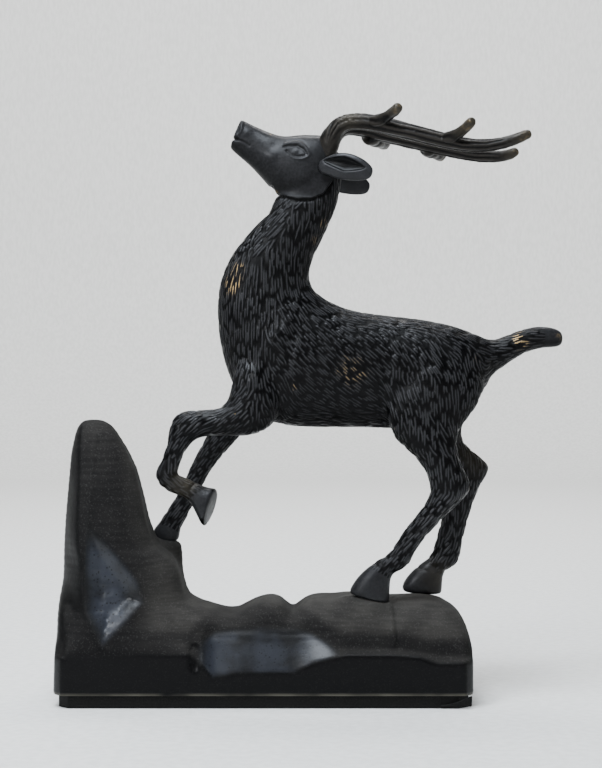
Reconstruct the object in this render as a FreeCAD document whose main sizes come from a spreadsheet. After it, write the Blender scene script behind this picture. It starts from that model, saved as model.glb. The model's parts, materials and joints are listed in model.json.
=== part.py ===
"""Stag statuette on a rock base, in millimetres.

The frame's origin is the centre of the underside. +Z is up, the stag faces -X, and its left side is -Y.
The figure is an assembly of sectional castings: a hollow trunk with the neck, a head, two antlers, two
ears, a tail and four legs, joined by spigots that cross pins lock. Three hooves stand on the rock and
are held by studs, whose washers and nuts are inside the hollow rock casting under a poured ballast.
A board wrapped in a sheet closes the underside.
"""

import FreeCAD, Part
import math
import os

import Sketcher

V = FreeCAD.Vector
X_AXIS, Y_AXIS, Z_AXIS = V(1, 0, 0), V(0, 1, 0), V(0, 0, 1)

# ---------------------------------------------------------------- driving dimensions
DIMENSIONS = {
    "figure_scale": 1.0,      # multiplies every section of the stag
    "casting_wall": 3.0,      # wall of the hollow trunk
    "spigot_radius": 2.8,     # legs' and tail's spigots
    "spigot_length": 7.0,
    "cross_pin_radius": 0.8,
    "base_length": 168.0,
    "base_width": 60.0,
    "sheet_thickness": 0.8,
    "plinth_height": 5.0,     # board and sheet together
    "sheet_inset": 2.0,       # the sheet stands back from the casting's rim
    "sheet_corner": 4.0,      # mitred corner of the sheet
    "rock_wall": 4.0,
    "seat_left_hind": 42.5,   # heights of the three hoof seats
    "seat_right_hind": 40.5,
    "seat_right_fore": 62.5,
    "stud_radius": 1.5,
    "stud_hole_radius": 1.7,
    "stud_in_hoof": 6.0,
    "washer_radius": 3.4,
    "washer_thickness": 0.6,
    "nut_across_flats": 5.5,
    "nut_thickness": 2.4,
    "core_plug_radius": 3.5,
    "low_core_top": 32.0,     # the rock casting's hollow, low part and upright
    "tall_core_ledge": 57.0,
}

doc = FreeCAD.newDocument("stag_statuette")
sheet = doc.addObject("Spreadsheet::Sheet", "Dimensions")


def fill_sheet():
    """Puts every driving dimension in a cell of its own, with its name as the alias."""
    for row, (alias, value) in enumerate(DIMENSIONS.items(), start=1):
        sheet.set(f"A{row}", alias)
        sheet.set(f"B{row}", str(value))
        sheet.setAlias(f"B{row}", alias)
    doc.recompute()


def dim(alias):
    """The value of one driving dimension."""
    return float(sheet.get(alias))


def cell(alias):
    """The name of one driving dimension inside an expression."""
    return f"Dimensions.{alias}"


# ---------------------------------------------------------------- helpers
def bind(obj, **expressions):
    """Binds properties to expressions. A double underscore in a name stands for a dot."""
    for name, expression in expressions.items():
        obj.setExpression(name.replace("__", "."), expression)
    return obj


def section(name, at, deep, wide, tilt, shrink="0"):
    """An ellipse across a limb.

    at is its centre, deep its size along the tilted direction in the XZ plane, wide its size along Y.
    tilt is the angle of the deep direction above +X. shrink is taken off both half sizes.
    """
    ellipse = doc.addObject("Part::Ellipse", name)
    ellipse.Placement = FreeCAD.Placement(V(*at), FreeCAD.Rotation(Y_AXIS, -tilt))
    scale = cell("figure_scale")
    bind(
        ellipse,
        MajorRadius=f"{scale} * {deep / 2} - {shrink}",
        MinorRadius=f"{scale} * {wide / 2} - {shrink}",
    )
    for axis, value in zip("xyz", at):
        ellipse.setExpression(f"Placement.Base.{axis}", f"{scale} * {value}")
    return ellipse


def limb(name, stations, shrink="0"):
    """A smooth solid through sections, each given as (x, y, z, deep, wide, tilt)."""
    loft = doc.addObject("Part::Loft", name)
    loft.Sections = [
        section(f"{name}_section_{k}", s[:3], *s[3:], shrink=shrink) for k, s in enumerate(stations)
    ]
    loft.Solid = True
    loft.Ruled = False
    return loft


def rod(name, at, direction, radius, length):
    """A cylinder from at along direction. radius and length are expressions."""
    cylinder = doc.addObject("Part::Cylinder", name)
    cylinder.Placement = FreeCAD.Placement(V(*at), FreeCAD.Rotation(Z_AXIS, V(*direction)))
    return bind(cylinder, Radius=radius, Height=length)


def taper(name, foot, tip, foot_radius, tip_radius):
    """A cone from foot to tip, for one tine, with its rounded end as a sphere."""
    line = V(*tip) - V(*foot)
    cone = doc.addObject("Part::Cone", name)
    cone.Placement = FreeCAD.Placement(V(*foot), FreeCAD.Rotation(Z_AXIS, line))
    scale = cell("figure_scale")
    bind(
        cone,
        Radius1=f"{scale} * {foot_radius}",
        Radius2=f"{scale} * {tip_radius}",
        Height=f"{scale} * {line.Length:.3f}",
    )
    end = doc.addObject("Part::Sphere", f"{name}_end")
    end.Placement.Base = V(*tip)
    bind(end, Radius=f"{scale} * {tip_radius}")
    return [cone, end]


def fuse(name, shapes):
    """One solid from several that overlap."""
    fused = doc.addObject("Part::MultiFuse", name)
    fused.Shapes = shapes
    fused.Refine = False
    return fused


def cut(name, base, tools):
    """base with every one of tools taken out."""
    if len(tools) > 1:
        tools = [fuse(f"{name}_tools", tools)]
    taken = doc.addObject("Part::Cut", name)
    taken.Base, taken.Tool = base, tools[0]
    taken.Refine = False
    return taken


def common(name, shapes):
    """What several solids share."""
    shared = doc.addObject("Part::MultiCommon", name)
    shared.Shapes = shapes
    return shared


def named(obj, label):
    """Gives the finished sub-part its label, which is its node's name."""
    obj.Label = label
    parts.append(obj)
    return obj


def origin_plane(body, role):
    """One of a body's own origin planes."""
    return next(f for f in body.Origin.OriginFeatures if f.Role == role)


def sketch_on(body, name, role, offset=0.0):
    """A sketch on a body's own plane, moved along its normal by offset."""
    sketch = body.newObject("Sketcher::SketchObject", name)
    sketch.AttachmentSupport = (origin_plane(body, role), [""])
    sketch.MapMode = "FlatFace"
    sketch.AttachmentOffset = FreeCAD.Placement(V(0, 0, offset), FreeCAD.Rotation())
    return sketch


def closed_outline(sketch, points):
    """Draws straight edges through points and joins their ends."""
    count = len(points)
    for k in range(count):
        start, end = points[k], points[(k + 1) % count]
        sketch.addGeometry(Part.LineSegment(V(*start, 0), V(*end, 0)), False)
    for k in range(count):
        sketch.addConstraint(Sketcher.Constraint("Coincident", k, 2, (k + 1) % count, 1))


def circle_on(sketch, centre, alias):
    """A circle at a fixed centre whose radius is a driving dimension."""
    index = sketch.addGeometry(Part.Circle(V(*centre, 0), Z_AXIS, dim(alias)), False)
    row = sketch.addConstraint(Sketcher.Constraint("Radius", index, dim(alias)))
    sketch.addConstraint(Sketcher.Constraint("DistanceX", -1, 1, index, 3, centre[0]))
    sketch.addConstraint(Sketcher.Constraint("DistanceY", -1, 1, index, 3, centre[1]))
    sketch.setExpression(f"Constraints[{row}]", cell(alias))


def pad(body, name, sketch, length, symmetric=False, backwards=False):
    """Pads a sketch by an expression's length."""
    feature = body.newObject("PartDesign::Pad", name)
    feature.Profile = sketch
    feature.Midplane = symmetric
    feature.Reversed = backwards
    return bind(feature, Length=length)


def prism(name, role, points, length):
    """A body whose outline on one origin plane is padded both ways to a length in all."""
    body = doc.addObject("PartDesign::Body", name)
    sketch = sketch_on(body, f"{name}_outline", role)
    closed_outline(sketch, points)
    pad(body, f"{name}_pad", sketch, length, symmetric=True)
    return body


parts = []
fill_sheet()

# ---------------------------------------------------------------- trunk and neck
# Each section: centre x, y, z, its depth, its width, and the tilt of the depth. Torso from rump to chest.
TORSO = [
    (95.0, 0, 139.0, 13.0, 8.0, 80),
    (87.0, 0, 134.5, 27.0, 18.0, 83),
    (75.5, 0, 130.5, 42.0, 26.0, 84),
    (63.0, 0, 132.0, 45.0, 28.0, 86),
    (49.5, 0, 134.0, 44.5, 27.0, 88),
    (34.0, 0, 135.5, 46.5, 29.0, 83),
    (18.0, 0, 137.5, 51.0, 30.0, 72),
    (6.5, 0, 143.5, 55.0, 29.0, 58),
]
NECK = [
    (10.0, 0, 139.0, 48.0, 24.0, 42),
    (1.5, 0, 154.0, 49.0, 26.0, 42),
    (-0.5, 0, 164.5, 43.0, 23.0, 27),
    (0.5, 0, 174.5, 38.0, 20.5, 12),
    (3.5, 0, 183.0, 34.0, 19.0, 4),
    (9.0, 0, 191.5, 30.0, 17.5, -3),
    (14.5, 0, 199.5, 26.5, 17.0, -5),
    (17.5, 0, 206.0, 25.5, 16.5, -4),
]
TORSO_CORE = TORSO[2:]           # the cores stop short of both ends
NECK_CORE = NECK[2:6]
CORE_BRIDGE = ((9.0, 0.0, 140.0), (-0.4, 0.0, 0.9), 9.0, 27.0)

# Shoulders and haunches, from inside the trunk to the joint that meets the leg. The left side is -Y.
LEFT_SHOULDER = [
    (5.0, -8.0, 141.0, 20.0, 10.0, 172),
    (-1.0, -9.0, 128.0, 25.0, 12.0, 160),
    (-7.5, -10.5, 118.0, 20.0, 12.0, 147),
    (-14.0, -11.5, 113.5, 15.6, 11.0, 141),
]
RIGHT_SHOULDER = [
    (3.0, 8.0, 141.0, 20.0, 10.0, 172),
    (-3.0, 9.0, 128.0, 23.0, 12.0, 165),
    (-9.5, 10.5, 117.0, 18.0, 11.0, 160),
    (-15.0, 11.5, 110.0, 14.5, 9.8, 158),
]
LEFT_HAUNCH = [
    (73.0, -8.0, 141.0, 22.0, 9.0, 180),
    (70.5, -9.0, 129.0, 36.0, 13.0, 180),
    (69.0, -10.5, 117.5, 33.0, 14.0, 183),
    (67.6, -12.0, 106.6, 23.5, 12.0, 187),
]
RIGHT_HAUNCH = [
    (75.0, 8.0, 141.0, 20.0, 9.0, 180),
    (73.5, 9.0, 129.0, 32.0, 13.0, 180),
    (73.0, 10.5, 117.5, 30.0, 14.0, 183),
    (73.5, 12.0, 106.0, 21.0, 11.5, 187),
]

# ---------------------------------------------------------------- legs, from the joint to the hoof
LEFT_HIND_LEG = [
    LEFT_HAUNCH[-1],
    (70.5, -12.6, 99.2, 18.6, 10.8, 173),
    (73.6, -13.0, 92.3, 16.3, 9.6, 175),
    (75.6, -13.0, 86.8, 15.4, 8.8, 175),
    (73.0, -13.0, 81.0, 11.8, 8.0, 165),
    (65.0, -13.0, 72.3, 8.2, 7.0, 155),
    (59.8, -13.0, 66.0, 8.2, 6.6, 155),
    (55.0, -13.0, 59.5, 7.6, 6.6, 153),
    (51.8, -13.0, 56.0, 8.6, 7.2, 155),
    (48.4, -13.0, 52.6, 9.0, 7.4, 162),
    (45.2, -13.0, 48.6, 12.8, 8.8, 174),
    (43.2, -13.0, 42.5, 15.4, 10.4, 180),
]
RIGHT_HIND_LEG = [
    RIGHT_HAUNCH[-1],
    (80.0, 12.6, 99.0, 17.8, 10.8, 183),
    (83.8, 13.0, 92.6, 17.6, 9.6, 178),
    (84.2, 13.0, 86.2, 14.8, 8.8, 175),
    (82.8, 13.0, 80.0, 11.6, 8.0, 176),
    (80.4, 13.0, 71.5, 9.4, 7.0, 177),
    (77.7, 13.0, 63.4, 9.2, 6.6, 177),
    (75.4, 13.0, 57.0, 9.8, 7.0, 176),
    (73.2, 13.0, 53.0, 10.4, 7.4, 176),
    (69.4, 13.0, 49.4, 11.6, 8.2, 178),
    (66.6, 13.0, 44.6, 15.6, 10.0, 180),
    (66.0, 13.0, 40.5, 16.4, 10.4, 180),
]
RIGHT_FORE_LEG = [
    RIGHT_SHOULDER[-1],
    (-18.4, 12.0, 105.8, 12.6, 9.0, 166),
    (-21.6, 12.0, 101.8, 11.2, 8.6, 172),
    (-25.6, 12.0, 96.0, 9.6, 8.0, 174),
    (-29.6, 12.0, 89.4, 8.6, 7.4, 174),
    (-33.1, 12.0, 82.1, 8.2, 7.0, 175),
    (-35.8, 12.0, 77.0, 8.0, 7.0, 176),
    (-38.2, 12.0, 72.6, 9.2, 7.6, 178),
    (-40.2, 12.0, 69.4, 9.6, 8.0, 179),
    (-41.8, 12.0, 66.0, 11.2, 9.0, 180),
    (-42.4, 12.0, 62.5, 11.6, 9.4, 180),
]
LEFT_FORE_LEG = [
    LEFT_SHOULDER[-1],
    (-19.4, -12.0, 113.2, 11.4, 9.6, 122),
    (-24.4, -12.2, 113.2, 9.8, 8.6, 104),
    (-29.4, -12.4, 112.4, 10.2, 8.6, 107),
    (-34.0, -12.6, 109.4, 10.6, 8.6, 131),
    (-36.4, -12.8, 103.6, 8.4, 7.4, 160),
    (-38.2, -13.0, 98.0, 7.2, 6.4, 173),
    (-39.6, -13.0, 93.4, 8.4, 7.0, 186),
    (-38.4, -13.0, 90.2, 8.4, 7.2, 213),
    (-35.2, -13.0, 88.2, 7.6, 6.8, 233),
    (-30.4, -13.0, 86.2, 6.8, 6.4, 241),
    (-27.2, -13.0, 84.0, 8.2, 7.4, 240),
    (-22.6, -13.0, 79.4, 13.6, 10.4, 250),
]

# ---------------------------------------------------------------- head, tail, ears, antlers
HEAD = [
    (30.0, 0, 214.0, 12.5, 10.0, 80),
    (25.0, 0, 216.5, 22.0, 15.0, 76),
    (19.0, 0, 219.0, 28.5, 17.5, 72),
    (12.0, 0, 221.0, 25.0, 16.5, 67),
    (4.5, 0, 223.5, 19.0, 14.0, 68),
    (-2.5, 0, 227.0, 15.6, 11.0, 70),
    (-8.5, 0, 230.8, 12.0, 8.8, 72),
    (-11.8, 0, 232.6, 9.0, 7.0, 73),
]
TAIL = [
    TORSO[0],
    (99.6, 0, 143.2, 11.0, 8.0, 95),
    (105.8, 0, 146.4, 9.6, 7.6, 97),
    (111.0, 0, 148.2, 8.8, 7.2, 93),
    (116.5, 0, 148.7, 8.2, 6.6, 90),
    (121.0, 0, 147.8, 6.0, 4.8, 86),
    (122.9, 0, 147.2, 3.0, 2.4, 84),
]


def mirrored(stations, sideways, lower=0.0):
    """The same sections, lower by that much, and on the other side of the stag if sideways is -1."""
    return [(x, sideways * y, z - lower, deep, wide, tilt) for x, y, z, deep, wide, tilt in stations]


LEFT_EAR = [
    (24.0, -8.6, 217.2, 4.2, 2.8, 90),
    (28.0, -10.4, 218.2, 9.6, 3.4, 90),
    (32.6, -12.0, 218.2, 11.0, 3.6, 88),
    (37.4, -13.2, 217.0, 8.8, 3.2, 84),
    (41.6, -14.0, 215.3, 4.6, 2.4, 78),
    (43.2, -14.3, 214.6, 2.2, 1.6, 76),
]
LEFT_BEAM = [
    (28.0, -4.8, 228.4, 9.6, 7.2, 150),
    (29.8, -5.2, 232.4, 8.4, 7.0, 142),
    (33.0, -6.2, 234.8, 7.6, 7.0, 112),
    (39.6, -8.0, 235.1, 7.2, 6.8, 90),
    (49.0, -10.0, 233.4, 7.0, 6.6, 84),
    (60.0, -11.8, 231.0, 6.8, 6.4, 83),
    (72.0, -13.2, 228.6, 6.4, 6.0, 83),
    (84.0, -14.6, 226.8, 5.6, 5.2, 86),
    (93.0, -15.4, 226.5, 4.9, 4.6, 96),
    (101.0, -16.0, 228.0, 4.6, 4.2, 110),
    (107.0, -16.4, 230.6, 3.8, 3.6, 115),
]
TINE_RADII = (3.0, 2.1)
# Foot and tip of the two tines of each antler. They stand out sideways, the left ones higher.
TINES = {
    "left": [((44.0, -9.6, 233.4), (53.5, -24.0, 238.6)), ((74.0, -13.6, 227.8), (83.6, -27.0, 232.6))],
    "right": [((41.0, 8.6, 234.2), (49.5, 25.0, 233.8)), ((66.0, 12.6, 229.8), (74.5, 28.0, 228.8))],
}
ANTLER_TENON = (2.2, 5.0)        # radius and length
EAR_TENON = (1.1, 3.0)
EAR_DROP = {"left": 0.0, "right": 3.0}  # the right ear is carried lower


def direction_of(tilt, along=1.0):
    """The normal of a section with that tilt."""
    angle = math.radians(tilt)
    return (-along * math.sin(angle), 0.0, along * math.cos(angle))


def spigot(name, station, along):
    """A spigot from a joint's section into the casting that it joins."""
    return rod(
        name, station[:3], direction_of(station[5], along), cell("spigot_radius"), cell("spigot_length")
    )


def cross_pin(name, station, side, reach):
    """A cross pin through the middle of a leg's spigot, from just under the skin to its middle."""
    normal = direction_of(station[5], INTO_TRUNK)
    half = dim("spigot_length") / 2
    x, y, z = (c + n * half for c, n in zip(station[:3], normal))
    return rod(name, (x, y + side * reach, z), (0, -side, 0), cell("cross_pin_radius"), str(reach))


INTO_TRUNK, OUT_OF_TRUNK = -1.0, 1.0     # a spigot's way along its section's normal
JOINTS = {
    # leg: (its sections, its side, how far its cross pin reaches)
    "left_foreleg": (LEFT_FORE_LEG, -1, 5.0),
    "right_foreleg": (RIGHT_FORE_LEG, 1, 4.4),
    "left_hindleg": (LEFT_HIND_LEG, -1, 5.4),
    "right_hindleg": (RIGHT_HIND_LEG, 1, 5.2),
}
STUDS = {
    # foot: (x, y, seat's alias, top of the hollow under it)
    "left_hind": (44.0, -13.0, "seat_left_hind", "low_core_top"),
    "right_hind": (67.0, 13.0, "seat_right_hind", "low_core_top"),
    "right_fore": (-43.6, 12.0, "seat_right_fore", "tall_core_ledge"),
}
FOOT_OF = {"left_hindleg": "left_hind", "right_hindleg": "right_hind", "right_foreleg": "right_fore"}
NUT_CLEARANCE = 1.0              # stud's end past its nut


def stud_space(name, foot, radius):
    """The cylinder that one mounting stud takes, with the given radius alias."""
    x, y, seat, core = STUDS[foot]
    below = dim("washer_thickness") + dim("nut_thickness") + NUT_CLEARANCE
    length = f"{cell(seat)} - {cell(core)} + {cell('stud_in_hoof')} + {below}"
    space = rod(name, (x, y, dim(core) - below), (0, 0, 1), cell(radius), length)
    return bind(space, Placement__Base__z=f"{cell(core)} - {below}")


def make_legs():
    """Four legs with their spigots. Planted hooves are drilled for their studs."""
    for leg, (stations, side, reach) in JOINTS.items():
        loft, tenon = limb(f"{leg}_loft", stations), spigot(f"{leg}_spigot", stations[0], INTO_TRUNK)
        taken = [cross_pin(f"{leg}_pin_hole", stations[0], side, reach)]
        if leg in FOOT_OF:
            taken.append(stud_space(f"{leg}_stud_hole", FOOT_OF[leg], "stud_radius"))
        named(cut(f"{leg}_drilled", fuse(f"{leg}_whole", [loft, tenon]), taken), leg)
        named(cross_pin(f"{leg}_cross_pin", stations[0], side, reach), f"{leg}_pin")


NECK_DOWEL_RADIUS, NECK_DOWEL_LENGTH = 3.0, 14.0


def neck_dowel(name):
    """The dowel between head and neck, centred on their joint."""
    joint = NECK[-1]
    normal = direction_of(joint[5])
    foot = tuple(c - n * NECK_DOWEL_LENGTH / 2 for c, n in zip(joint[:3], normal))
    return rod(name, foot, normal, str(NECK_DOWEL_RADIUS), str(NECK_DOWEL_LENGTH))


CORE_PLUG_AT = (24.0, 0.0, 111.0)


def core_plug(name):
    """The plug that closes the core's vent in the belly."""
    return rod(name, CORE_PLUG_AT, (0, 0, 1), cell("core_plug_radius"), f"{cell('casting_wall')} + 2.6")


def make_trunk():
    """The hollow trunk with neck, shoulders and haunches, and the sockets for what joins it."""
    outside = fuse(
        "trunk_outside",
        [
            limb("torso_loft", TORSO),
            limb("neck_loft", NECK),
            limb("left_shoulder", LEFT_SHOULDER),
            limb("right_shoulder", RIGHT_SHOULDER),
            limb("left_haunch", LEFT_HAUNCH),
            limb("right_haunch", RIGHT_HAUNCH),
        ],
    )
    at, way, radius, length = CORE_BRIDGE
    taken = [
        limb("torso_core", TORSO_CORE, cell("casting_wall")),
        limb("neck_core", NECK_CORE, cell("casting_wall")),
        rod("core_bridge", at, way, str(radius), str(length)),
        core_plug("core_plug_hole"),
    ]
    taken.append(neck_dowel("neck_dowel_hole"))
    taken.append(spigot("tail_socket", TAIL[0], OUT_OF_TRUNK))
    for leg, (stations, side, reach) in JOINTS.items():
        taken.append(spigot(f"{leg}_socket", stations[0], INTO_TRUNK))
        taken.append(cross_pin(f"{leg}_socket_pin", stations[0], side, reach))
    hollow = outside
    for k, tool in enumerate(taken):
        hollow = cut(f"trunk_stage_{k}", hollow, [tool])
    named(hollow, "trunk_and_neck")
    plug = core_plug("core_plug_disc")
    named(common("core_plug_flush", [plug, limb("torso_for_plug", TORSO)]), "core_plug")
    named(neck_dowel("neck_dowel_rod"), "neck_dowel")


def make_head():
    """The head, cut to the joint with the neck, with sockets for antlers, ears and dowel."""
    joint = NECK[-1]
    block = doc.addObject("Part::Box", "below_neck_joint")
    block.Length, block.Width, block.Height = 60, 40, 40
    turn = FreeCAD.Rotation(Y_AXIS, -joint[5])
    block.Placement = FreeCAD.Placement(V(*joint[:3]) + turn.multVec(V(-30, -20, -40)), turn)
    skull = limb("skull", HEAD)
    throat = limb("throat", [joint, (19.0, 0, 214.0, 20.0, 15.0, -2), (19.5, 0, 220.0, 13.0, 12.0, 0)])
    whole = fuse("head_whole", [skull, throat])
    taken = [block, neck_dowel("head_dowel_hole")]
    taken += [antler_tenon(f"{side}_antler_socket", way) for side, way in SIDES.items()]
    taken += [ear_tenon(side) for side in SIDES]
    head = whole
    for k, tool in enumerate(taken):
        head = cut(f"head_stage_{k}", head, [tool])
    return head


SIDES = {"left": 1.0, "right": -1.0}


def antler_tenon(name, way):
    """The tenon under an antler's root."""
    x, y, z = LEFT_BEAM[0][:3]
    radius, length = ANTLER_TENON
    return rod(name, (x, way * y, z), direction_of(LEFT_BEAM[0][5], -1.0), str(radius), str(length))


def ear_tenon(side):
    """The tenon at an ear's root, pointing into the head."""
    x, y, z = mirrored(LEFT_EAR, SIDES[side], EAR_DROP[side])[0][:3]
    radius, length = EAR_TENON
    return rod(f"{side}_ear_tenon", (x, y, z), (-0.5, SIDES[side] * 0.85, 0), str(radius), str(length))


def make_antlers_and_ears(head):
    """Two antlers of one beam and two tines, and two ears, each cut clear of the head."""
    for side, way in SIDES.items():
        shapes = [limb(f"{side}_beam", mirrored(LEFT_BEAM, way)), antler_tenon(f"{side}_antler_tenon", way)]
        for k, (foot, tip) in enumerate(TINES[side]):
            shapes += taper(f"{side}_tine_{k}", foot, tip, *TINE_RADII)
        named(cut(f"{side}_antler_cut", fuse(f"{side}_antler_whole", shapes), [head]), f"{side}_antler")
        leaf, tenon = limb(f"{side}_ear_loft", mirrored(LEFT_EAR, way, EAR_DROP[side])), ear_tenon(side)
        named(cut(f"{side}_ear_cut", fuse(f"{side}_ear_whole", [leaf, tenon]), [head]), f"{side}_ear")


def make_tail():
    """The tail with its spigot."""
    named(fuse("tail_whole", [limb("tail_loft", TAIL), spigot("tail_spigot", TAIL[0], OUT_OF_TRUNK)]), "tail")


# ---------------------------------------------------------------- rock casting
ROCK_FOOT = dim("plinth_height")
HALF_LENGTH = dim("base_length") / 2
LOW_ROCK_SIDE = [
    (-HALF_LENGTH, ROCK_FOOT), (HALF_LENGTH, ROCK_FOOT), (84.0, 20.0), (81.5, 30.5), (78.5, 35.5),
    (73.0, 38.5), (56.0, 39.0), (48.0, 40.5), (38.0, 42.0), (31.0, 42.5), (24.0, 41.0), (17.0, 39.5),
    (11.5, 36.5), (7.0, 39.5), (1.0, 40.8), (-6.0, 38.6), (-12.0, 36.0), (-20.0, 37.6), (-30.0, 42.0),
    (-40.0, 47.0), (-81.5, 47.0),
]
LOW_ROCK_END = [
    (-30.0, ROCK_FOOT), (30.0, ROCK_FOOT), (31.0, 19.0), (27.5, 31.0), (18.0, 39.0), (8.0, 42.5),
    (-8.0, 42.5), (-18.0, 39.0), (-27.5, 31.0), (-31.0, 19.0),
]
TALL_ROCK_SIDE = [
    (-HALF_LENGTH, ROCK_FOOT), (-28.0, ROCK_FOOT), (-32.5, 43.5), (-35.0, 52.0), (-36.8, 60.0),
    (-47.0, 66.0), (-50.0, 81.0), (-53.5, 93.0), (-58.0, 102.5), (-63.5, 110.5), (-68.5, 114.0),
    (-74.3, 113.6), (-77.5, 108.0), (-80.0, 82.0), (-82.0, 40.0),
]
TALL_ROCK_END = [
    (-30.0, ROCK_FOOT), (30.0, ROCK_FOOT), (31.0, 20.0), (29.0, 52.0), (24.0, 84.0), (16.0, 106.0),
    (7.0, 114.0), (-7.0, 114.0), (-16.0, 106.0), (-24.0, 84.0), (-29.0, 52.0), (-31.0, 20.0),
]
LOW_CORE_END = [
    (-26.5, ROCK_FOOT), (26.5, ROCK_FOOT), (26.5, 17.0), (22.0, 27.0), (15.5, 32.0), (-15.5, 32.0),
    (-22.0, 27.0), (-26.5, 17.0),
]
TALL_CORE_SIDE = [
    (-77.0, ROCK_FOOT), (-36.0, ROCK_FOOT), (-37.0, 32.0), (-39.2, 57.0), (-51.5, 57.0), (-55.0, 78.0),
    (-61.5, 92.0), (-66.0, 98.0), (-71.0, 98.0), (-74.5, 80.0), (-76.0, 40.0),
]
TALL_CORE_END = [
    (-26.5, ROCK_FOOT), (26.5, ROCK_FOOT), (26.5, 17.0), (18.5, 36.0), (16.5, 58.0), (9.0, 80.0),
    (4.0, 98.0), (-4.0, 98.0), (-9.0, 80.0), (-12.0, 58.0), (-17.0, 36.0), (-26.5, 17.0),
]
LOW_CORE_X = (-79.0, 76.0)
# Chipped facets on the casting: the middle of each cut face and the way it faces.
FACETS = {
    "upright_front": ((-76.0, -27.0, 62.0), (-0.72, -0.66, 0.20)),
    "upright_back": ((-77.0, 26.0, 62.0), (-0.70, 0.68, 0.20)),
    "ridge_end": ((79.0, -25.5, 27.0), (0.62, -0.62, 0.48)),
}
FACET_SIZE = 90.0
SEAT_RADII = {"left_hind": 6.4, "right_hind": 7.0, "right_fore": 5.4}


def facet(name, middle, facing):
    """A block whose flat face, facing inwards at middle, chips one facet off the rock."""
    block = doc.addObject("Part::Box", f"chip_{name}")
    block.Length = block.Width = block.Height = FACET_SIZE
    turn = FreeCAD.Rotation(Z_AXIS, V(*facing))
    corner = turn.multVec(V(-FACET_SIZE / 2, -FACET_SIZE / 2, 0))
    block.Placement = FreeCAD.Placement(V(*middle) + corner, turn)
    return block


def rock_core():
    """The hollow inside the rock casting, open at the bottom."""
    start, end = LOW_CORE_X
    low = doc.addObject("PartDesign::Body", "low_core")
    sketch = sketch_on(low, "low_core_outline", "YZ_Plane", start)
    closed_outline(sketch, LOW_CORE_END)
    pad(low, "low_core_pad", sketch, str(end - start))
    tall = common(
        "tall_core",
        [
            prism("tall_core_side", "XZ_Plane", TALL_CORE_SIDE, cell("base_width")),
            prism("tall_core_end", "YZ_Plane", TALL_CORE_END, f"{cell('base_length')} + 2"),
        ],
    )
    return fuse("rock_core", [low, tall])


def seat(name, foot):
    """The round seat that stands up from the rock under one hoof."""
    x, y, height, core = STUDS[foot]
    post = rod(name, (x, y, dim(core)), (0, 0, 1), str(SEAT_RADII[foot]), f"{cell(height)} - {cell(core)}")
    return bind(post, Placement__Base__z=cell(core))


def make_rock(core):
    """The rock casting: a low ridge and an upright, with facets, hoof seats and stud holes."""
    width, length = cell("base_width"), cell("base_length")
    low = common(
        "low_rock",
        [
            prism("low_rock_side", "XZ_Plane", LOW_ROCK_SIDE, f"{width} + 4"),
            prism("low_rock_end", "YZ_Plane", LOW_ROCK_END, f"{length} + 2"),
        ],
    )
    tall = common(
        "tall_rock",
        [
            prism("tall_rock_side", "XZ_Plane", TALL_ROCK_SIDE, f"{width} + 4"),
            prism("tall_rock_end", "YZ_Plane", TALL_ROCK_END, f"{length} + 2"),
        ],
    )
    rough = fuse("rock_rough", [low, tall])
    chipped = rough
    for name, (middle, facing) in FACETS.items():
        chipped = cut(f"rock_{name}_chipped", chipped, [facet(name, middle, facing)])
    seated = fuse("rock_seated", [chipped] + [seat(f"{foot}_seat", foot) for foot in STUDS])
    hollow = cut("rock_hollow", seated, [core])
    for foot in STUDS:
        hollow = cut(f"rock_{foot}_hole", hollow, [stud_space(f"{foot}_hole", foot, "stud_hole_radius")])
    named(hollow, "rock_base")


# ---------------------------------------------------------------- fasteners
def make_fasteners():
    """For each planted hoof a stud, a washer and a hexagon nut."""
    for foot, (x, y, _, core) in STUDS.items():
        named(stud_space(f"{foot}_stud_rod", foot, "stud_radius"), f"{foot}_stud")
        named(ring(f"{foot}_washer_body", (x, y), core, "washer_thickness", None), f"{foot}_washer")
        named(ring(f"{foot}_nut_body", (x, y), core, "nut_thickness", "washer_thickness"), f"{foot}_nut")


def ring(name, centre, core, thickness, above):
    """A washer, or a nut where it hangs under another piece, padded down from the hollow's roof."""
    body = doc.addObject("PartDesign::Body", name)
    sketch = sketch_on(body, f"{name}_outline", "XY_Plane")
    if above is None:
        circle_on(sketch, centre, "washer_radius")
    else:
        corner = dim("nut_across_flats") / math.sqrt(3)
        turns = [math.radians(60 * k) for k in range(6)]
        x, y = centre
        closed_outline(sketch, [(x + corner * math.cos(a), y + corner * math.sin(a)) for a in turns])
    circle_on(sketch, centre, "stud_radius" if above else "stud_hole_radius")
    roof = cell(core) + (f" - {cell(above)}" if above else "")
    sketch.setExpression("AttachmentOffset.Base.z", roof)
    pad(body, f"{name}_pad", sketch, cell(thickness), backwards=True)
    return body


# ---------------------------------------------------------------- ballast, board and sheet
BALLAST_GAP = 0.3


def make_ballast(core):
    """The poured ballast: the hollow, less room for each stud, washer and nut."""
    ballast = core
    for foot, (x, y, _, core_top) in STUDS.items():
        below = dim("washer_thickness") + dim("nut_thickness") + NUT_CLEARANCE + BALLAST_GAP
        pocket = rod(
            f"{foot}_pocket", (x, y, dim(core_top) - below), (0, 0, 1),
            f"{cell('washer_radius')} + {BALLAST_GAP}", f"{below} + 1",
        )
        bind(pocket, Placement__Base__z=f"{cell(core_top)} - {below}")
        ballast = cut(f"ballast_{foot}", ballast, [pocket])
    named(ballast, "ballast")


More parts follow.
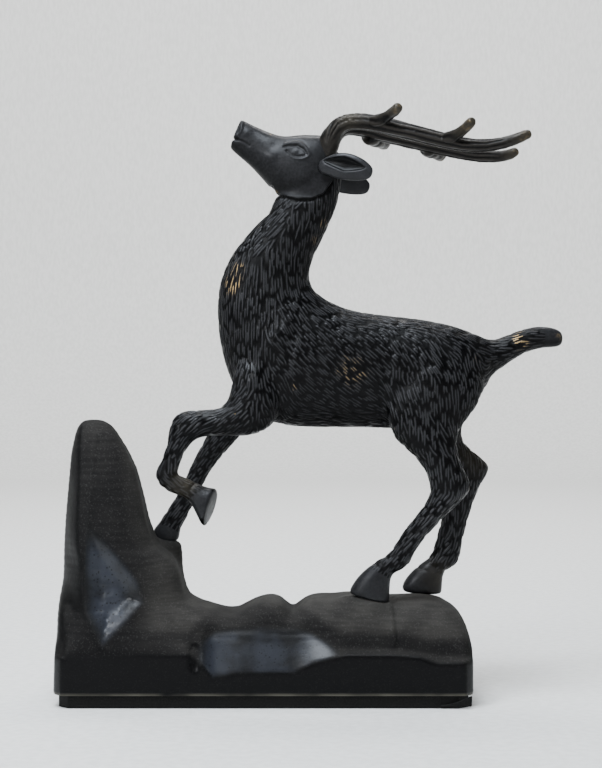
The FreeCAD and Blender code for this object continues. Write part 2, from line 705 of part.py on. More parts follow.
def mitred_rectangle(inset, corner):
    """A rectangle inside the casting's rim, with its four corners cut off."""
    half_x = dim("base_length") / 2 - inset
    half_y = dim("base_width") / 2 - inset
    points = []
    for sx, sy, first in ((1, 1, "x"), (-1, 1, "y"), (-1, -1, "x"), (1, -1, "y")):
        along_x = (sx * (half_x - corner), sy * half_y)
        along_y = (sx * half_x, sy * (half_y - corner))
        points += [along_y, along_x] if first == "x" else [along_x, along_y]
    return points


def make_underside():
    """The closing board, and the sheet that wraps its underside and edges."""
    thickness = dim("sheet_thickness")
    board = doc.addObject("PartDesign::Body", "board_body")
    sketch = sketch_on(board, "board_outline", "XY_Plane", thickness)
    corner = dim("sheet_corner") - thickness * (2 - math.sqrt(2))
    closed_outline(sketch, mitred_rectangle(dim("sheet_inset") + thickness, corner))
    sketch.setExpression("AttachmentOffset.Base.z", cell("sheet_thickness"))
    pad(board, "board_pad", sketch, f"{cell('plinth_height')} - {cell('sheet_thickness')}")
    named(board, "base_board")

    wrap = doc.addObject("PartDesign::Body", "sheet_body")
    outline = sketch_on(wrap, "sheet_outline", "XY_Plane")
    closed_outline(outline, mitred_rectangle(dim("sheet_inset"), dim("sheet_corner")))
    pad(wrap, "sheet_pad", outline, cell("plinth_height"))
    inside = sketch_on(wrap, "sheet_inside", "XY_Plane", dim("plinth_height"))
    closed_outline(inside, mitred_rectangle(dim("sheet_inset") + thickness, corner))
    inside.setExpression("AttachmentOffset.Base.z", cell("plinth_height"))
    pocket = wrap.newObject("PartDesign::Pocket", "sheet_pocket")
    pocket.Profile = inside
    bind(pocket, Length=f"{cell('plinth_height')} - {cell('sheet_thickness')}")
    wrap.Tip = pocket
    named(wrap, "base_sheet")


# ---------------------------------------------------------------- build, check and write
def check_and_write():
    """Stops on a failed object or a bad shape, then writes one STEP file for each sub-part."""
    doc.recompute()
    failed = [o.Name for o in doc.Objects if {"Invalid", "Error"} & set(o.State)]
    if failed:
        raise SystemExit(f"failed objects: {failed}")
    os.makedirs("parts", exist_ok=True)
    for name in os.listdir("parts"):
        os.remove(os.path.join("parts", name))
    for obj in parts:
        shape = obj.Shape
        if shape.isNull() or not shape.isValid() or not shape.Solids:
            raise SystemExit(f"bad shape: {obj.Label}")
        shape.exportStep(os.path.join("parts", f"{obj.Label}.step"))
        print(f"{obj.Label}: {len(shape.Solids)} solid, {shape.Volume / 1000:.2f} cm3")


make_legs()
make_trunk()
finished_head = make_head()
named(finished_head, "head")
make_antlers_and_ears(finished_head)
make_tail()
hollow_core = rock_core()
make_rock(hollow_core)
make_fasteners()
make_ballast(hollow_core)
make_underside()
check_and_write()
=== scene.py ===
"""Looks of a bronze stag statuette that rears on a faceted black rock.

Lengths are in millimetres in this file's own tables and in metres in the scene. The stag faces -X, its
left side is -Y, and +Z is up. The stag is modelled as one figure, chased with fur, and then sawn into the
castings that the real one is made of.
"""

from __future__ import annotations

import json
import logging
import math
from dataclasses import dataclass, field
from enum import Enum

import bmesh
import bpy
import numpy as np
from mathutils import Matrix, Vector, kdtree

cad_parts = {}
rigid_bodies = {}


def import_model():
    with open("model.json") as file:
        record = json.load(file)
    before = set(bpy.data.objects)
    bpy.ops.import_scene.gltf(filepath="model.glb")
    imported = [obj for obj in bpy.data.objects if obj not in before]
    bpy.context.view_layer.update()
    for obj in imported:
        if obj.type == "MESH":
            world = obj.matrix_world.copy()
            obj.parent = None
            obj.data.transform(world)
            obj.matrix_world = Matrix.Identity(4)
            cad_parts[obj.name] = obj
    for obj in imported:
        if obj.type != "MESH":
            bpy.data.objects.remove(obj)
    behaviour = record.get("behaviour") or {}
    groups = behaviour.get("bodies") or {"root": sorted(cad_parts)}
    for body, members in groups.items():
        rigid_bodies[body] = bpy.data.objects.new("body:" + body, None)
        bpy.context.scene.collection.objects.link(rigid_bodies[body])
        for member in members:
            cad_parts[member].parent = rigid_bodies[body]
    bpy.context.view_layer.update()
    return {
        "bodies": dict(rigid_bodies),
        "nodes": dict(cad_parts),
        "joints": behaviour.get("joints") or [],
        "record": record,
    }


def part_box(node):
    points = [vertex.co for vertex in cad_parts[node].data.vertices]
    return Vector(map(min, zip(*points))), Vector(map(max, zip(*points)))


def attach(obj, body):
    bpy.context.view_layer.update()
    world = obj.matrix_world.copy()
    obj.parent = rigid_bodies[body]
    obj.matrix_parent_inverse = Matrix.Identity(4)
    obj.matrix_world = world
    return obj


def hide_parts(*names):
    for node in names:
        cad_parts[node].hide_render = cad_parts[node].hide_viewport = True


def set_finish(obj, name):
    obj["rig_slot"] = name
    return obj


MM = 0.001
ROOT = "root"
LOG = logging.getLogger("statuette")
Point = tuple[float, float, float]
Flat = tuple[float, float]


# ------------------------------------------------------------------------------------------ bench tools
class Bench:
    """Hand tools: thin wrappers on the modelling operators."""

    @staticmethod
    def deselect() -> None:
        """Leaves nothing selected."""
        if bpy.context.object and bpy.context.object.mode != "OBJECT":
            bpy.ops.object.mode_set(mode="OBJECT")
        bpy.ops.object.select_all(action="DESELECT")

    @staticmethod
    def pick(*pieces: bpy.types.Object) -> None:
        """Selects the pieces and makes the first one active.

        Args:
            pieces: the objects to select.
        """
        Bench.deselect()
        for piece in pieces:
            piece.select_set(True)
        bpy.context.view_layer.objects.active = pieces[0]

    @staticmethod
    def named(name: str) -> bpy.types.Object:
        """Names the active object and its mesh.

        Args:
            name: the piece's name.

        Returns:
            The active object.
        """
        piece = bpy.context.object
        piece.name = piece.data.name = name
        return piece

    @staticmethod
    def settle(piece: bpy.types.Object) -> None:
        """Puts a piece's place, turn and size into its mesh."""
        Bench.pick(piece)
        bpy.ops.object.transform_apply(location=True, rotation=True, scale=True)

    @staticmethod
    def apply(piece: bpy.types.Object, kind: str, **settings: object) -> None:
        """Adds one modifier and applies it.

        Args:
            piece: the object to change.
            kind: the modifier's type.
            settings: the modifier's properties.
        """
        Bench.pick(piece)
        modifier = piece.modifiers.new(kind.lower(), kind)
        for name, value in settings.items():
            setattr(modifier, name, value)
        bpy.ops.object.modifier_apply(modifier=modifier.name)

    @staticmethod
    def join(name: str, pieces: list[bpy.types.Object]) -> bpy.types.Object:
        """Joins several objects into one.

        Args:
            name: the joined piece's name.
            pieces: the objects to join.

        Returns:
            The joined object.
        """
        Bench.pick(*pieces)
        bpy.ops.object.join()
        return Bench.named(name)

    @staticmethod
    def remesh(piece: bpy.types.Object, cell: float) -> None:
        """Makes one closed skin of a piece's overlapping shells.

        Args:
            piece: the object to change.
            cell: the skin's cell, in millimetres.
        """
        Bench.apply(piece, "REMESH", mode="VOXEL", voxel_size=cell * MM, use_smooth_shade=True)

    @staticmethod
    def smooth_by_angle(piece: bpy.types.Object, degrees: float) -> None:
        """Shades a piece smooth, but for edges sharper than an angle."""
        Bench.pick(piece)
        bpy.ops.object.shade_smooth_by_angle(angle=math.radians(degrees))


@dataclass(frozen=True)
class Ring:
    """An elliptical section of a limb.

    Attributes:
        centre: its middle.
        across: half of its size one way, as a vector.
        along: half of its size the other way, as a vector.
    """

    centre: Vector
    across: Vector
    along: Vector


def rib(top: Flat, bottom: Flat, half: float, y: float = 0.0) -> Ring:
    """A section given by its two ends in the side view.

    Args:
        top: the upper or front end, as X and Z.
        bottom: the lower or back end, as X and Z.
        half: half of its width along Y.
        y: its middle's place along Y.

    Returns:
        The section.
    """
    middle = Vector(((top[0] + bottom[0]) / 2, y, (top[1] + bottom[1]) / 2))
    return Ring(middle, Vector((0, half, 0)), Vector(((top[0] - bottom[0]) / 2, 0, (top[1] - bottom[1]) / 2)))


def beads(path: list[tuple[float, float, float, float, float]]) -> list[Ring]:
    """Sections square to a path.

    Args:
        path: for each section x, y, z, its height and its width.

    Returns:
        The sections.
    """
    points = [Vector(bead[:3]) for bead in path]
    rings = []
    for k, (_, _, _, height, width) in enumerate(path):
        heading = (points[min(k + 1, len(points) - 1)] - points[max(k - 1, 0)]).normalized()
        side = heading.cross(Vector((0, 0, 1))).normalized()
        up = side.cross(heading).normalized()
        rings.append(Ring(points[k], side * width / 2, up * height / 2))
    return rings


def limb(name: str, rings: list[Ring], sides: int = 20, levels: int = 2) -> bpy.types.Object:
    """A closed limb through its sections.

    Args:
        name: the limb's name.
        rings: its sections in order.
        sides: how many points each section has.
        levels: how often the skin is subdivided.

    Returns:
        The limb.
    """
    Bench.deselect()
    for k, ring in enumerate(rings):
        bpy.ops.mesh.primitive_circle_add(vertices=sides, radius=MM, location=(0, 0, 0))
        if k == 0:
            piece = Bench.named(name)
            bpy.ops.object.mode_set(mode="EDIT")
            bpy.ops.mesh.select_mode(type="VERT")
        mesh = bmesh.from_edit_mesh(piece.data)
        mesh.verts.ensure_lookup_table()
        for j in range(sides):
            turn = 2 * math.pi * j / sides
            place = ring.centre + ring.across * math.cos(turn) + ring.along * math.sin(turn)
            mesh.verts[k * sides + j].co = place * MM
    for k in range(len(rings) - 1):
        _select_span(mesh, k * sides, (k + 2) * sides, sides)
        bpy.ops.mesh.bridge_edge_loops()
        mesh = bmesh.from_edit_mesh(piece.data)
    for first in (0, (len(rings) - 1) * sides):
        _select_span(mesh, first, first + sides, sides)
        bpy.ops.mesh.edge_face_add()
        mesh = bmesh.from_edit_mesh(piece.data)
    bpy.ops.mesh.select_all(action="SELECT")
    bpy.ops.mesh.normals_make_consistent(inside=False)
    bpy.ops.object.mode_set(mode="OBJECT")
    if levels:
        Bench.apply(piece, "SUBSURF", levels=levels, render_levels=levels)
    return piece


def _select_span(mesh: bmesh.types.BMesh, first: int, last: int, sides: int) -> None:
    """Selects the edges of whole sections, and nothing between them.

    Args:
        mesh: the mesh in edit mode.
        first: the first section's first point.
        last: one past the last section's last point.
        sides: how many points each section has.
    """
    mesh.verts.ensure_lookup_table()
    for part in (mesh.verts, mesh.edges, mesh.faces):
        for item in part:
            item.select = False
    for edge in mesh.edges:
        a, b = edge.verts[0].index, edge.verts[1].index
        if first <= a < last and first <= b < last and a // sides == b // sides:
            edge.select = True
            edge.verts[0].select = edge.verts[1].select = True


# ------------------------------------------------------------------------------------------ sculpting
class Clay:
    """A dense mesh as arrays, in millimetres, for work that moves its points."""

    def __init__(self, piece: bpy.types.Object) -> None:
        """Reads a piece's mesh.

        Args:
            piece: the object whose points are to be moved.
        """
        self.piece = piece
        mesh = piece.data
        self.co = np.empty(len(mesh.vertices) * 3)
        mesh.vertices.foreach_get("co", self.co)
        self.co = self.co.reshape(-1, 3) / MM
        edges = np.empty(len(mesh.edges) * 2, dtype=np.int64)
        mesh.edges.foreach_get("vertices", edges)
        self.edges = edges.reshape(-1, 2)
        self.degree = np.bincount(self.edges.ravel(), minlength=len(self.co)).astype(float)[:, None]

    def write(self) -> None:
        """Puts the points back into the mesh."""
        self.piece.data.vertices.foreach_set("co", (self.co * MM).ravel())
        self.piece.data.update()

    def normals(self) -> np.ndarray:
        """The points' normals, after the points are written.

        Returns:
            One normal for each point.
        """
        self.write()
        out = np.empty(len(self.co) * 3)
        self.piece.data.vertex_normals.foreach_get("vector", out)
        return out.reshape(-1, 3)

    def around(self, values: np.ndarray) -> np.ndarray:
        """The mean of each point's neighbours.

        Args:
            values: one row for each point.

        Returns:
            One row for each point.
        """
        a, b = self.edges.T
        total = np.zeros_like(values)
        for column in range(values.shape[1]):
            total[:, column] = np.bincount(a, values[b, column], len(values))
            total[:, column] += np.bincount(b, values[a, column], len(values))
        return total / self.degree

    def relax(self, weight: np.ndarray, rounds: int) -> None:
        """Smooths the skin.

        Args:
            weight: how much, from 0 to 1, for each point.
            rounds: how often.
        """
        for _ in range(rounds):
            self.co += (self.around(self.co) - self.co) * (0.5 * weight[:, None])

    def near(self, centre: Point, radius: float) -> np.ndarray:
        """A soft mask round a place, 1 at its middle.

        Args:
            centre: the middle.
            radius: where the mask has nearly gone.

        Returns:
            The mask.
        """
        return np.exp(-(((self.co - centre) ** 2).sum(1)) / (radius / 1.8) ** 2)

    def swell(self, centre: Point, radius: float, height: float, both: bool = True) -> None:
        """Raises or lowers a soft round spot.

        Args:
            centre: its middle, on the left side.
            radius: where it fades out.
            height: how far, outwards if positive.
            both: whether the right side gets it too.
        """
        normals = self.normals()
        mask = self.near(centre, radius)
        if both and centre[1]:
            mask = np.maximum(mask, self.near((centre[0], -centre[1], centre[2]), radius))
        self.co += normals * (mask * height)[:, None]

    def from_line(self, line: list[Flat]) -> np.ndarray:
        """Each point's distance from a line of the side view.

        Args:
            line: the line's X and Z points.

        Returns:
            The distances.
        """
        flat = self.co[:, (0, 2)]
        best = np.full(len(flat), np.inf)
        for start, end in zip(line[:-1], line[1:]):
            a, ab = np.array(start), np.subtract(end, start)
            t = np.clip(((flat - a) @ ab) / (ab @ ab), 0, 1)
            best = np.minimum(best, np.linalg.norm(flat - a - t[:, None] * ab, axis=1))
        return best

    def crease(
        self, line: list[Flat], width: float, height: float, side: int = 0, least: float = 2.0
    ) -> None:
        """Draws a crease or a raised line on the figure's flanks.

        Args:
            line: its X and Z points in the side view.
            width: how wide it is.
            height: how far it goes, inwards if negative.
            side: -1 for the left flank, 1 for the right one, 0 for both.
            least: how far from the middle plane a point has to be.
        """
        normals = self.normals()
        y = self.co[:, 1]
        on = np.abs(y) > least if side == 0 else y * side > least
        depth = height * np.exp(-((self.from_line(line) / (width / 2)) ** 2))
        self.co += normals * (depth * on)[:, None]

    def attribute(self, name: str, values: np.ndarray) -> None:
        """Stores one value for each point, for the finishes to read."""
        layer = self.piece.data.attributes.new(name, "FLOAT", "POINT")
        layer.data.foreach_set("value", np.clip(values, 0, 1).astype(np.float32))


def waves(co: np.ndarray, pitch: float, seed: int, octaves: int = 3) -> np.ndarray:
    """Soft random waves through space, from -1 to 1.

    Args:
        co: the points, in millimetres.
        pitch: the size of the largest waves.
        seed: which random set.
        octaves: how many finer sets are added.

    Returns:
        One value for each point.
    """
    random = np.random.default_rng(seed)
    total, strength = np.zeros(len(co)), 1.0
    for _ in range(octaves):
        for _ in range(7):
            heading = random.normal(size=3)
            heading *= 2 * math.pi / pitch / np.linalg.norm(heading) * random.uniform(0.6, 1.3)
            total += strength / 7 * np.sin(co @ heading + random.uniform(0, 2 * math.pi)) * 1.8
        pitch, strength = pitch / 2, strength / 2
    return np.clip(total / 1.6, -1, 1)


def fade(values: np.ndarray, start: float, end: float) -> np.ndarray:
    """A smooth step from 0 at start to 1 at end."""
    t = np.clip((values - start) / (end - start), 0, 1)
    return t * t * (3 - 2 * t)


# ------------------------------------------------------------------------------------------ the figure
TRUNK = [
    rib((98.0, 145.0), (93.5, 130.5), 4.4),
    rib((90.0, 148.6), (87.4, 121.0), 9.8),
    rib((84.0, 151.2), (79.0, 114.8), 12.2),
    rib((76.0, 154.0), (71.0, 111.2), 13.7),
    rib((64.0, 156.2), (60.0, 110.2), 14.0),
    rib((50.0, 157.5), (48.0, 110.6), 13.5),
    rib((36.0, 159.3), (33.0, 111.2), 14.2),
    rib((27.0, 163.0), (13.0, 110.6), 15.0),
    rib((21.0, 167.0), (-5.4, 114.0), 14.6),
    rib((18.6, 171.5), (-16.0, 132.0), 13.2),
    rib((18.2, 174.5), (-20.0, 152.0), 11.6),
    rib((18.8, 178.0), (-19.9, 168.0), 10.6),
    rib((20.8, 183.5), (-15.6, 180.8), 9.8),
    rib((24.5, 190.5), (-7.2, 191.2), 9.2),
    rib((28.1, 198.5), (0.8, 199.5), 8.8),
    rib((30.6, 205.5), (4.8, 206.5), 8.4),
    rib((31.4, 212.0), (8.0, 213.0), 8.0),
    rib((33.0, 219.5), (13.0, 221.0), 7.3),
    rib((33.2, 226.0), (18.0, 227.0), 5.0),
]
SKULL = [
    rib((29.5, 227.5), (27.5, 210.0), 5.0),
    rib((25.5, 232.3), (22.5, 206.2), 8.2),
    rib((20.0, 232.4), (16.0, 204.0), 9.6),
    rib((14.0, 232.6), (8.8, 204.6), 9.4),
    rib((8.4, 231.4), (3.2, 209.0), 8.2),
    rib((3.0, 232.9), (-1.5, 214.4), 6.7),
    rib((-2.2, 235.1), (-5.9, 219.3), 5.4),
    rib((-6.6, 237.1), (-10.3, 223.0), 4.7),
    rib((-9.6, 238.8), (-14.2, 226.4), 4.3),
    rib((-10.4, 238.2), (-14.6, 227.6), 3.8),
]
TAIL = [
    rib((86.0, 148.0), (86.0, 128.0), 7.0),
    rib((94.0, 147.2), (93.6, 131.4), 5.2),
    rib((99.6, 149.0), (99.8, 137.2), 4.6),
    rib((105.8, 151.3), (106.2, 141.2), 4.4),
    rib((110.5, 152.6), (110.8, 143.3), 4.2),
    rib((116.4, 153.0), (116.6, 144.2), 3.8),
    rib((121.0, 152.0), (121.2, 144.2), 3.4),
    rib((123.6, 150.2), (123.6, 145.6), 2.2),
]
LEFT_HIND_LEG = [
    rib((57.0, 147.0), (88.0, 143.0), 5.0, -6.5),
    rib((51.5, 131.0), (91.6, 127.0), 8.6, -7.4),
    rib((49.4, 119.0), (85.4, 117.0), 8.6, -8.8),
    rib((50.0, 110.2), (80.6, 112.0), 7.6, -10.2),
    rib((55.4, 104.4), (78.2, 106.6), 6.8, -11.4),
    rib((61.6, 99.6), (78.6, 100.0), 5.9, -12.3),
    rib((65.8, 93.2), (81.8, 92.8), 5.2, -12.8),
    rib((67.8, 88.0), (85.0, 86.6), 4.7, -13.0),
    rib((67.4, 83.2), (80.2, 81.4), 4.2, -13.0),
    rib((64.4, 78.4), (73.6, 75.4), 3.7, -13.0),
    rib((60.4, 73.4), (68.4, 70.0), 3.4, -13.0),
    rib((56.0, 67.9), (64.2, 65.1), 3.3, -13.0),
    rib((52.5, 62.0), (60.3, 59.5), 3.4, -13.0),
    rib((50.2, 59.3), (58.6, 54.6), 3.8, -13.0),
    rib((47.8, 58.0), (53.6, 52.8), 3.3, -13.0),
    rib((43.4, 55.4), (51.4, 50.6), 3.9, -13.0),
    rib((38.6, 51.6), (51.2, 46.6), 4.7, -13.0),
    rib((35.2, 46.8), (51.1, 42.4), 5.3, -13.0),
    rib((34.2, 44.2), (51.0, 40.4), 5.4, -13.0),
    rib((36.2, 43.0), (50.2, 39.6), 4.8, -13.0),
]
RIGHT_HIND_LEG = [
    rib((58.0, 147.0), (89.0, 143.0), 5.0, 6.5),
    rib((56.0, 131.0), (91.0, 127.0), 8.6, 7.4),
    rib((56.0, 119.0), (86.0, 117.0), 8.4, 8.8),
    rib((59.5, 110.0), (82.0, 111.0), 7.4, 10.5),
    rib((66.4, 101.6), (82.8, 104.2), 6.4, 12.0),
    rib((71.0, 95.8), (90.0, 98.6), 5.4, 12.6),
    rib((73.8, 91.2), (95.8, 94.0), 4.8, 13.0),
    rib((74.2, 86.0), (91.8, 88.4), 4.4, 13.0),
    rib((74.8, 81.0), (89.2, 83.0), 4.0, 13.0),
    rib((75.4, 75.0), (86.4, 75.6), 3.6, 13.0),
    rib((73.4, 67.5), (84.4, 67.8), 3.4, 13.0),
    rib((71.3, 60.5), (82.5, 60.3), 3.4, 13.0),
    rib((69.4, 55.6), (82.0, 53.2), 3.8, 13.0),
    rib((67.2, 54.2), (76.6, 50.8), 3.5, 13.0),
    rib((63.0, 51.2), (75.0, 48.8), 4.2, 13.0),
    rib((58.8, 46.8), (74.8, 44.8), 4.9, 13.0),
    rib((57.0, 42.8), (74.6, 41.4), 5.2, 13.0),
    rib((58.4, 40.6), (74.1, 39.8), 4.9, 13.0),
]
LEFT_FORE_LEG = [
    rib((-11.0, 143.0), (10.0, 136.0), 6.0, -6.5),
    rib((-13.4, 130.6), (8.0, 120.4), 7.6, -8.0),
    rib((-14.6, 122.8), (3.4, 110.8), 7.2, -9.5),
    rib((-17.6, 119.2), (-5.2, 107.6), 6.0, -11.0),
    rib((-22.8, 118.5), (-16.0, 108.2), 5.0, -12.0),
    rib((-28.0, 118.1), (-24.2, 108.1), 4.6, -12.4),
    rib((-34.2, 118.1), (-29.0, 106.0), 4.5, -12.7),
    rib((-38.6, 113.4), (-31.0, 103.4), 4.2, -12.9),
    rib((-38.9, 105.8), (-32.4, 101.6), 3.8, -13.0),
    rib((-40.8, 100.5), (-33.8, 98.4), 3.3, -13.0),
    rib((-43.0, 95.6), (-35.2, 94.6), 3.4, -13.0),
    rib((-44.8, 91.4), (-35.4, 92.2), 3.6, -13.0),
    rib((-41.6, 86.6), (-34.2, 91.6), 3.5, -13.0),
    rib((-36.2, 84.2), (-31.8, 90.6), 3.3, -13.0),
    rib((-31.6, 82.8), (-28.0, 89.0), 3.4, -13.0),
    rib((-29.4, 79.6), (-25.0, 87.6), 4.2, -13.0),
    rib((-27.2, 75.4), (-22.8, 86.8), 4.9, -13.0),
    rib((-25.0, 70.8), (-20.2, 86.6), 5.4, -13.0),
    rib((-23.8, 71.0), (-19.2, 86.0), 5.3, -13.0),
]
RIGHT_FORE_LEG = [
    rib((-9.0, 142.0), (10.0, 136.0), 6.0, 6.5),
    rib((-13.0, 129.0), (5.0, 121.0), 7.2, 8.5),
    rib((-17.0, 118.0), (-1.0, 113.0), 6.2, 10.0),
    rib((-21.6, 111.5), (-8.0, 110.0), 5.2, 11.3),
    rib((-24.8, 107.4), (-11.3, 106.8), 4.8, 12.0),
    rib((-27.0, 103.0), (-15.1, 102.6), 4.5, 12.0),
    rib((-30.4, 96.7), (-20.8, 96.2), 4.0, 12.0),
    rib((-33.4, 89.9), (-25.0, 89.7), 3.7, 12.0),
    rib((-36.8, 83.0), (-28.7, 82.4), 3.4, 12.0),
    rib((-39.4, 78.6), (-31.4, 77.2), 3.4, 12.0),
    rib((-42.6, 74.0), (-32.8, 73.4), 3.9, 12.0),
    rib((-43.8, 71.6), (-35.2, 70.0), 3.6, 12.0),
    rib((-47.4, 68.0), (-36.0, 67.0), 4.4, 12.0),
    rib((-48.2, 64.8), (-36.4, 64.2), 4.8, 12.0),
    rib((-46.8, 62.4), (-37.2, 62.4), 4.6, 12.0),
]
JAW_LINE = [
    (3.2, 211.0), (4.4, 208.9), (7.1, 206.6), (13.0, 204.9), (19.4, 205.0), (24.1, 207.0), (27.8, 212.5),
]
# Places of bare, unchased metal: each a middle and a radius.
BARE = [
    ((43.0, -13.0, 45.0), 10.5), ((50.0, -13.0, 53.0), 4.2), ((66.0, 13.0, 45.5), 10.0),
    ((72.0, 13.0, 50.5), 4.2), ((-24.5, -13.0, 80.0), 8.0), ((-42.0, 12.0, 65.0), 7.0),
    ((122.0, 0.0, 148.5), 8.6),
]


@dataclass(frozen=True)
class Lie:
    """Which way the fur lies at one place.

    Attributes:
        at: the place in the side view.
        way: the direction in the side view, from a hair's root to its tip.
        y: the place along Y, where only one side's leg is meant.
    """

    at: Flat
    way: Flat
    y: float | None = None


LIES = [
    Lie((26, 222), (0.05, -1)), Lie((24, 206), (0.0, -1)), Lie((12, 203), (-0.35, -0.94)),
    Lie((4, 200), (-0.6, -0.8)), Lie((16, 195), (-0.25, -0.97)), Lie((23, 193), (0.0, -1)),
    Lie((0, 190), (-0.5, -0.86)), Lie((10, 185), (-0.15, -1)), Lie((-10, 176), (-0.25, -0.97)),
    Lie((2, 175), (-0.05, -1)), Lie((12, 172), (0.2, -0.98)), Lie((-15, 160), (0.0, -1)),
    Lie((-2, 158), (0.05, -1)), Lie((12, 160), (0.45, -0.9)), Lie((24, 160), (0.75, -0.66)),
    Lie((-14, 142), (0.05, -1)), Lie((-2, 142), (0.15, -1)), Lie((10, 145), (0.5, -0.86)),
    Lie((25, 147), (0.72, -0.7)), Lie((40, 155), (0.95, -0.3)), Lie((60, 153), (0.95, -0.3)),
    Lie((80, 148), (0.85, -0.5)), Lie((40, 140), (0.76, -0.65)), Lie((24, 130), (0.8, -0.6)),
    Lie((8, 128), (0.45, -0.9)), Lie((36, 126), (0.85, -0.52)), Lie((20, 115), (0.97, -0.22)),
    Lie((42, 115), (0.97, -0.24)), Lie((55, 145), (0.6, -0.8)), Lie((58, 130), (0.25, -0.97)),
    Lie((70, 140), (0.45, -0.9)), Lie((72, 125), (0.2, -0.98)), Lie((85, 138), (0.15, -0.99)),
    Lie((82, 122), (-0.25, -0.97)), Lie((58, 115), (0.25, -0.97)), Lie((70, 110), (0.3, -0.95)),
    Lie((93, 144), (0.8, -0.1)), Lie((95, 136), (0.9, 0.35)), Lie((104, 146), (0.95, 0.3)),
    Lie((113, 148.5), (1, 0.02)), Lie((-8, 124), (-0.35, -0.94), -9), Lie((-14, 116), (-0.85, -0.5), -11),
    Lie((-24, 113), (-0.97, -0.22), -12), Lie((-31, 111), (-0.75, -0.66), -12),
    Lie((-36, 104), (-0.4, -0.9), -13), Lie((-39, 96), (-0.3, -0.95), -13),
    Lie((-38, 89), (0.85, -0.5), -13), Lie((-30, 86), (0.9, -0.4), -13), Lie((2, 115), (0.4, -0.9), -9),
    Lie((-9, 124), (-0.3, -0.95), 9), Lie((-16, 110), (-0.55, -0.84), 11),
    Lie((-24, 100), (-0.55, -0.84), 12), Lie((-32, 86), (-0.48, -0.88), 12),
    Lie((-38, 75), (-0.5, -0.86), 12), Lie((68, 100), (0.35, -0.94), -12), Lie((75, 91), (0.2, -0.98), -13),
    Lie((72, 82), (-0.5, -0.86), -13), Lie((64, 71), (-0.62, -0.78), -13),
    Lie((56, 60), (-0.55, -0.83), -13), Lie((72, 104), (0.4, -0.92), 12), Lie((83, 94), (0.2, -0.98), 13),
    Lie((83, 84), (-0.2, -0.98), 13), Lie((79, 68), (-0.25, -0.97), 13), Lie((76, 56), (-0.4, -0.9), 13),
]


@dataclass(frozen=True)
class Saw:
    """A flat cut that takes one casting off the figure.

    Attributes:
        name: the casting that comes off.
        at: a place on the cut.
        way: the cut's normal, towards the piece that comes off.
        low: the lowest corner of the room that is sawn.
        high: its highest corner.
        node: the node that the casting stands for.
    """

    name: str
    at: Point
    way: Point
    low: Point
    high: Point
    node: str


SAWS = [
    Saw(
        "left_hindleg_casting", (67.6, -12.0, 106.6), (0.12, 0, -0.99),
        (40, -30, 30), (110, 0, 111), "left_hindleg",
    ),
    Saw(
        "right_hindleg_casting", (73.5, 12.0, 106.0), (0.12, 0, -0.99),
        (40, 0, 30), (110, 30, 111), "right_hindleg",
    ),
    Saw(
        "left_foreleg_casting", (-14.0, -11.5, 113.5), (-0.63, 0, -0.777),
        (-60, -30, 60), (6, -1, 123), "left_foreleg",
    ),
    Saw(
        "right_foreleg_casting", (-15.0, 11.5, 110.0), (-0.375, 0, -0.927),
        (-60, 1, 50), (6, 30, 119), "right_foreleg",
    ),
    Saw(
        "tail_casting", (95.0, 0.0, 139.0), (0.985, 0, -0.17),
        (88, -30, 110), (140, 30, 170), "tail",
    ),
    Saw(
        "head_casting", (17.5, 0.0, 206.0), (0.07, 0, 0.998),
        (-30, -30, 190), (60, 30, 260), "head",
    ),
    Saw(
        "neck_casting", (3.0, 0.0, 158.0), (-0.45, 0, 0.893),
        (-60, -40, 110), (60, 40, 230), "trunk_and_neck",
    ),
    Saw(
        "haunch_casting", (47.5, 0.0, 130.0), (1.0, 0, 0.0),
        (20, -40, 90), (120, 40, 190), "trunk_and_neck",
    ),
    Saw(
        "shoulder_casting", (14.0, 0.0, 130.0), (-1.0, 0, 0.0),
        (-60, -40, 90), (40, 40, 190), "trunk_and_neck",
    ),
]


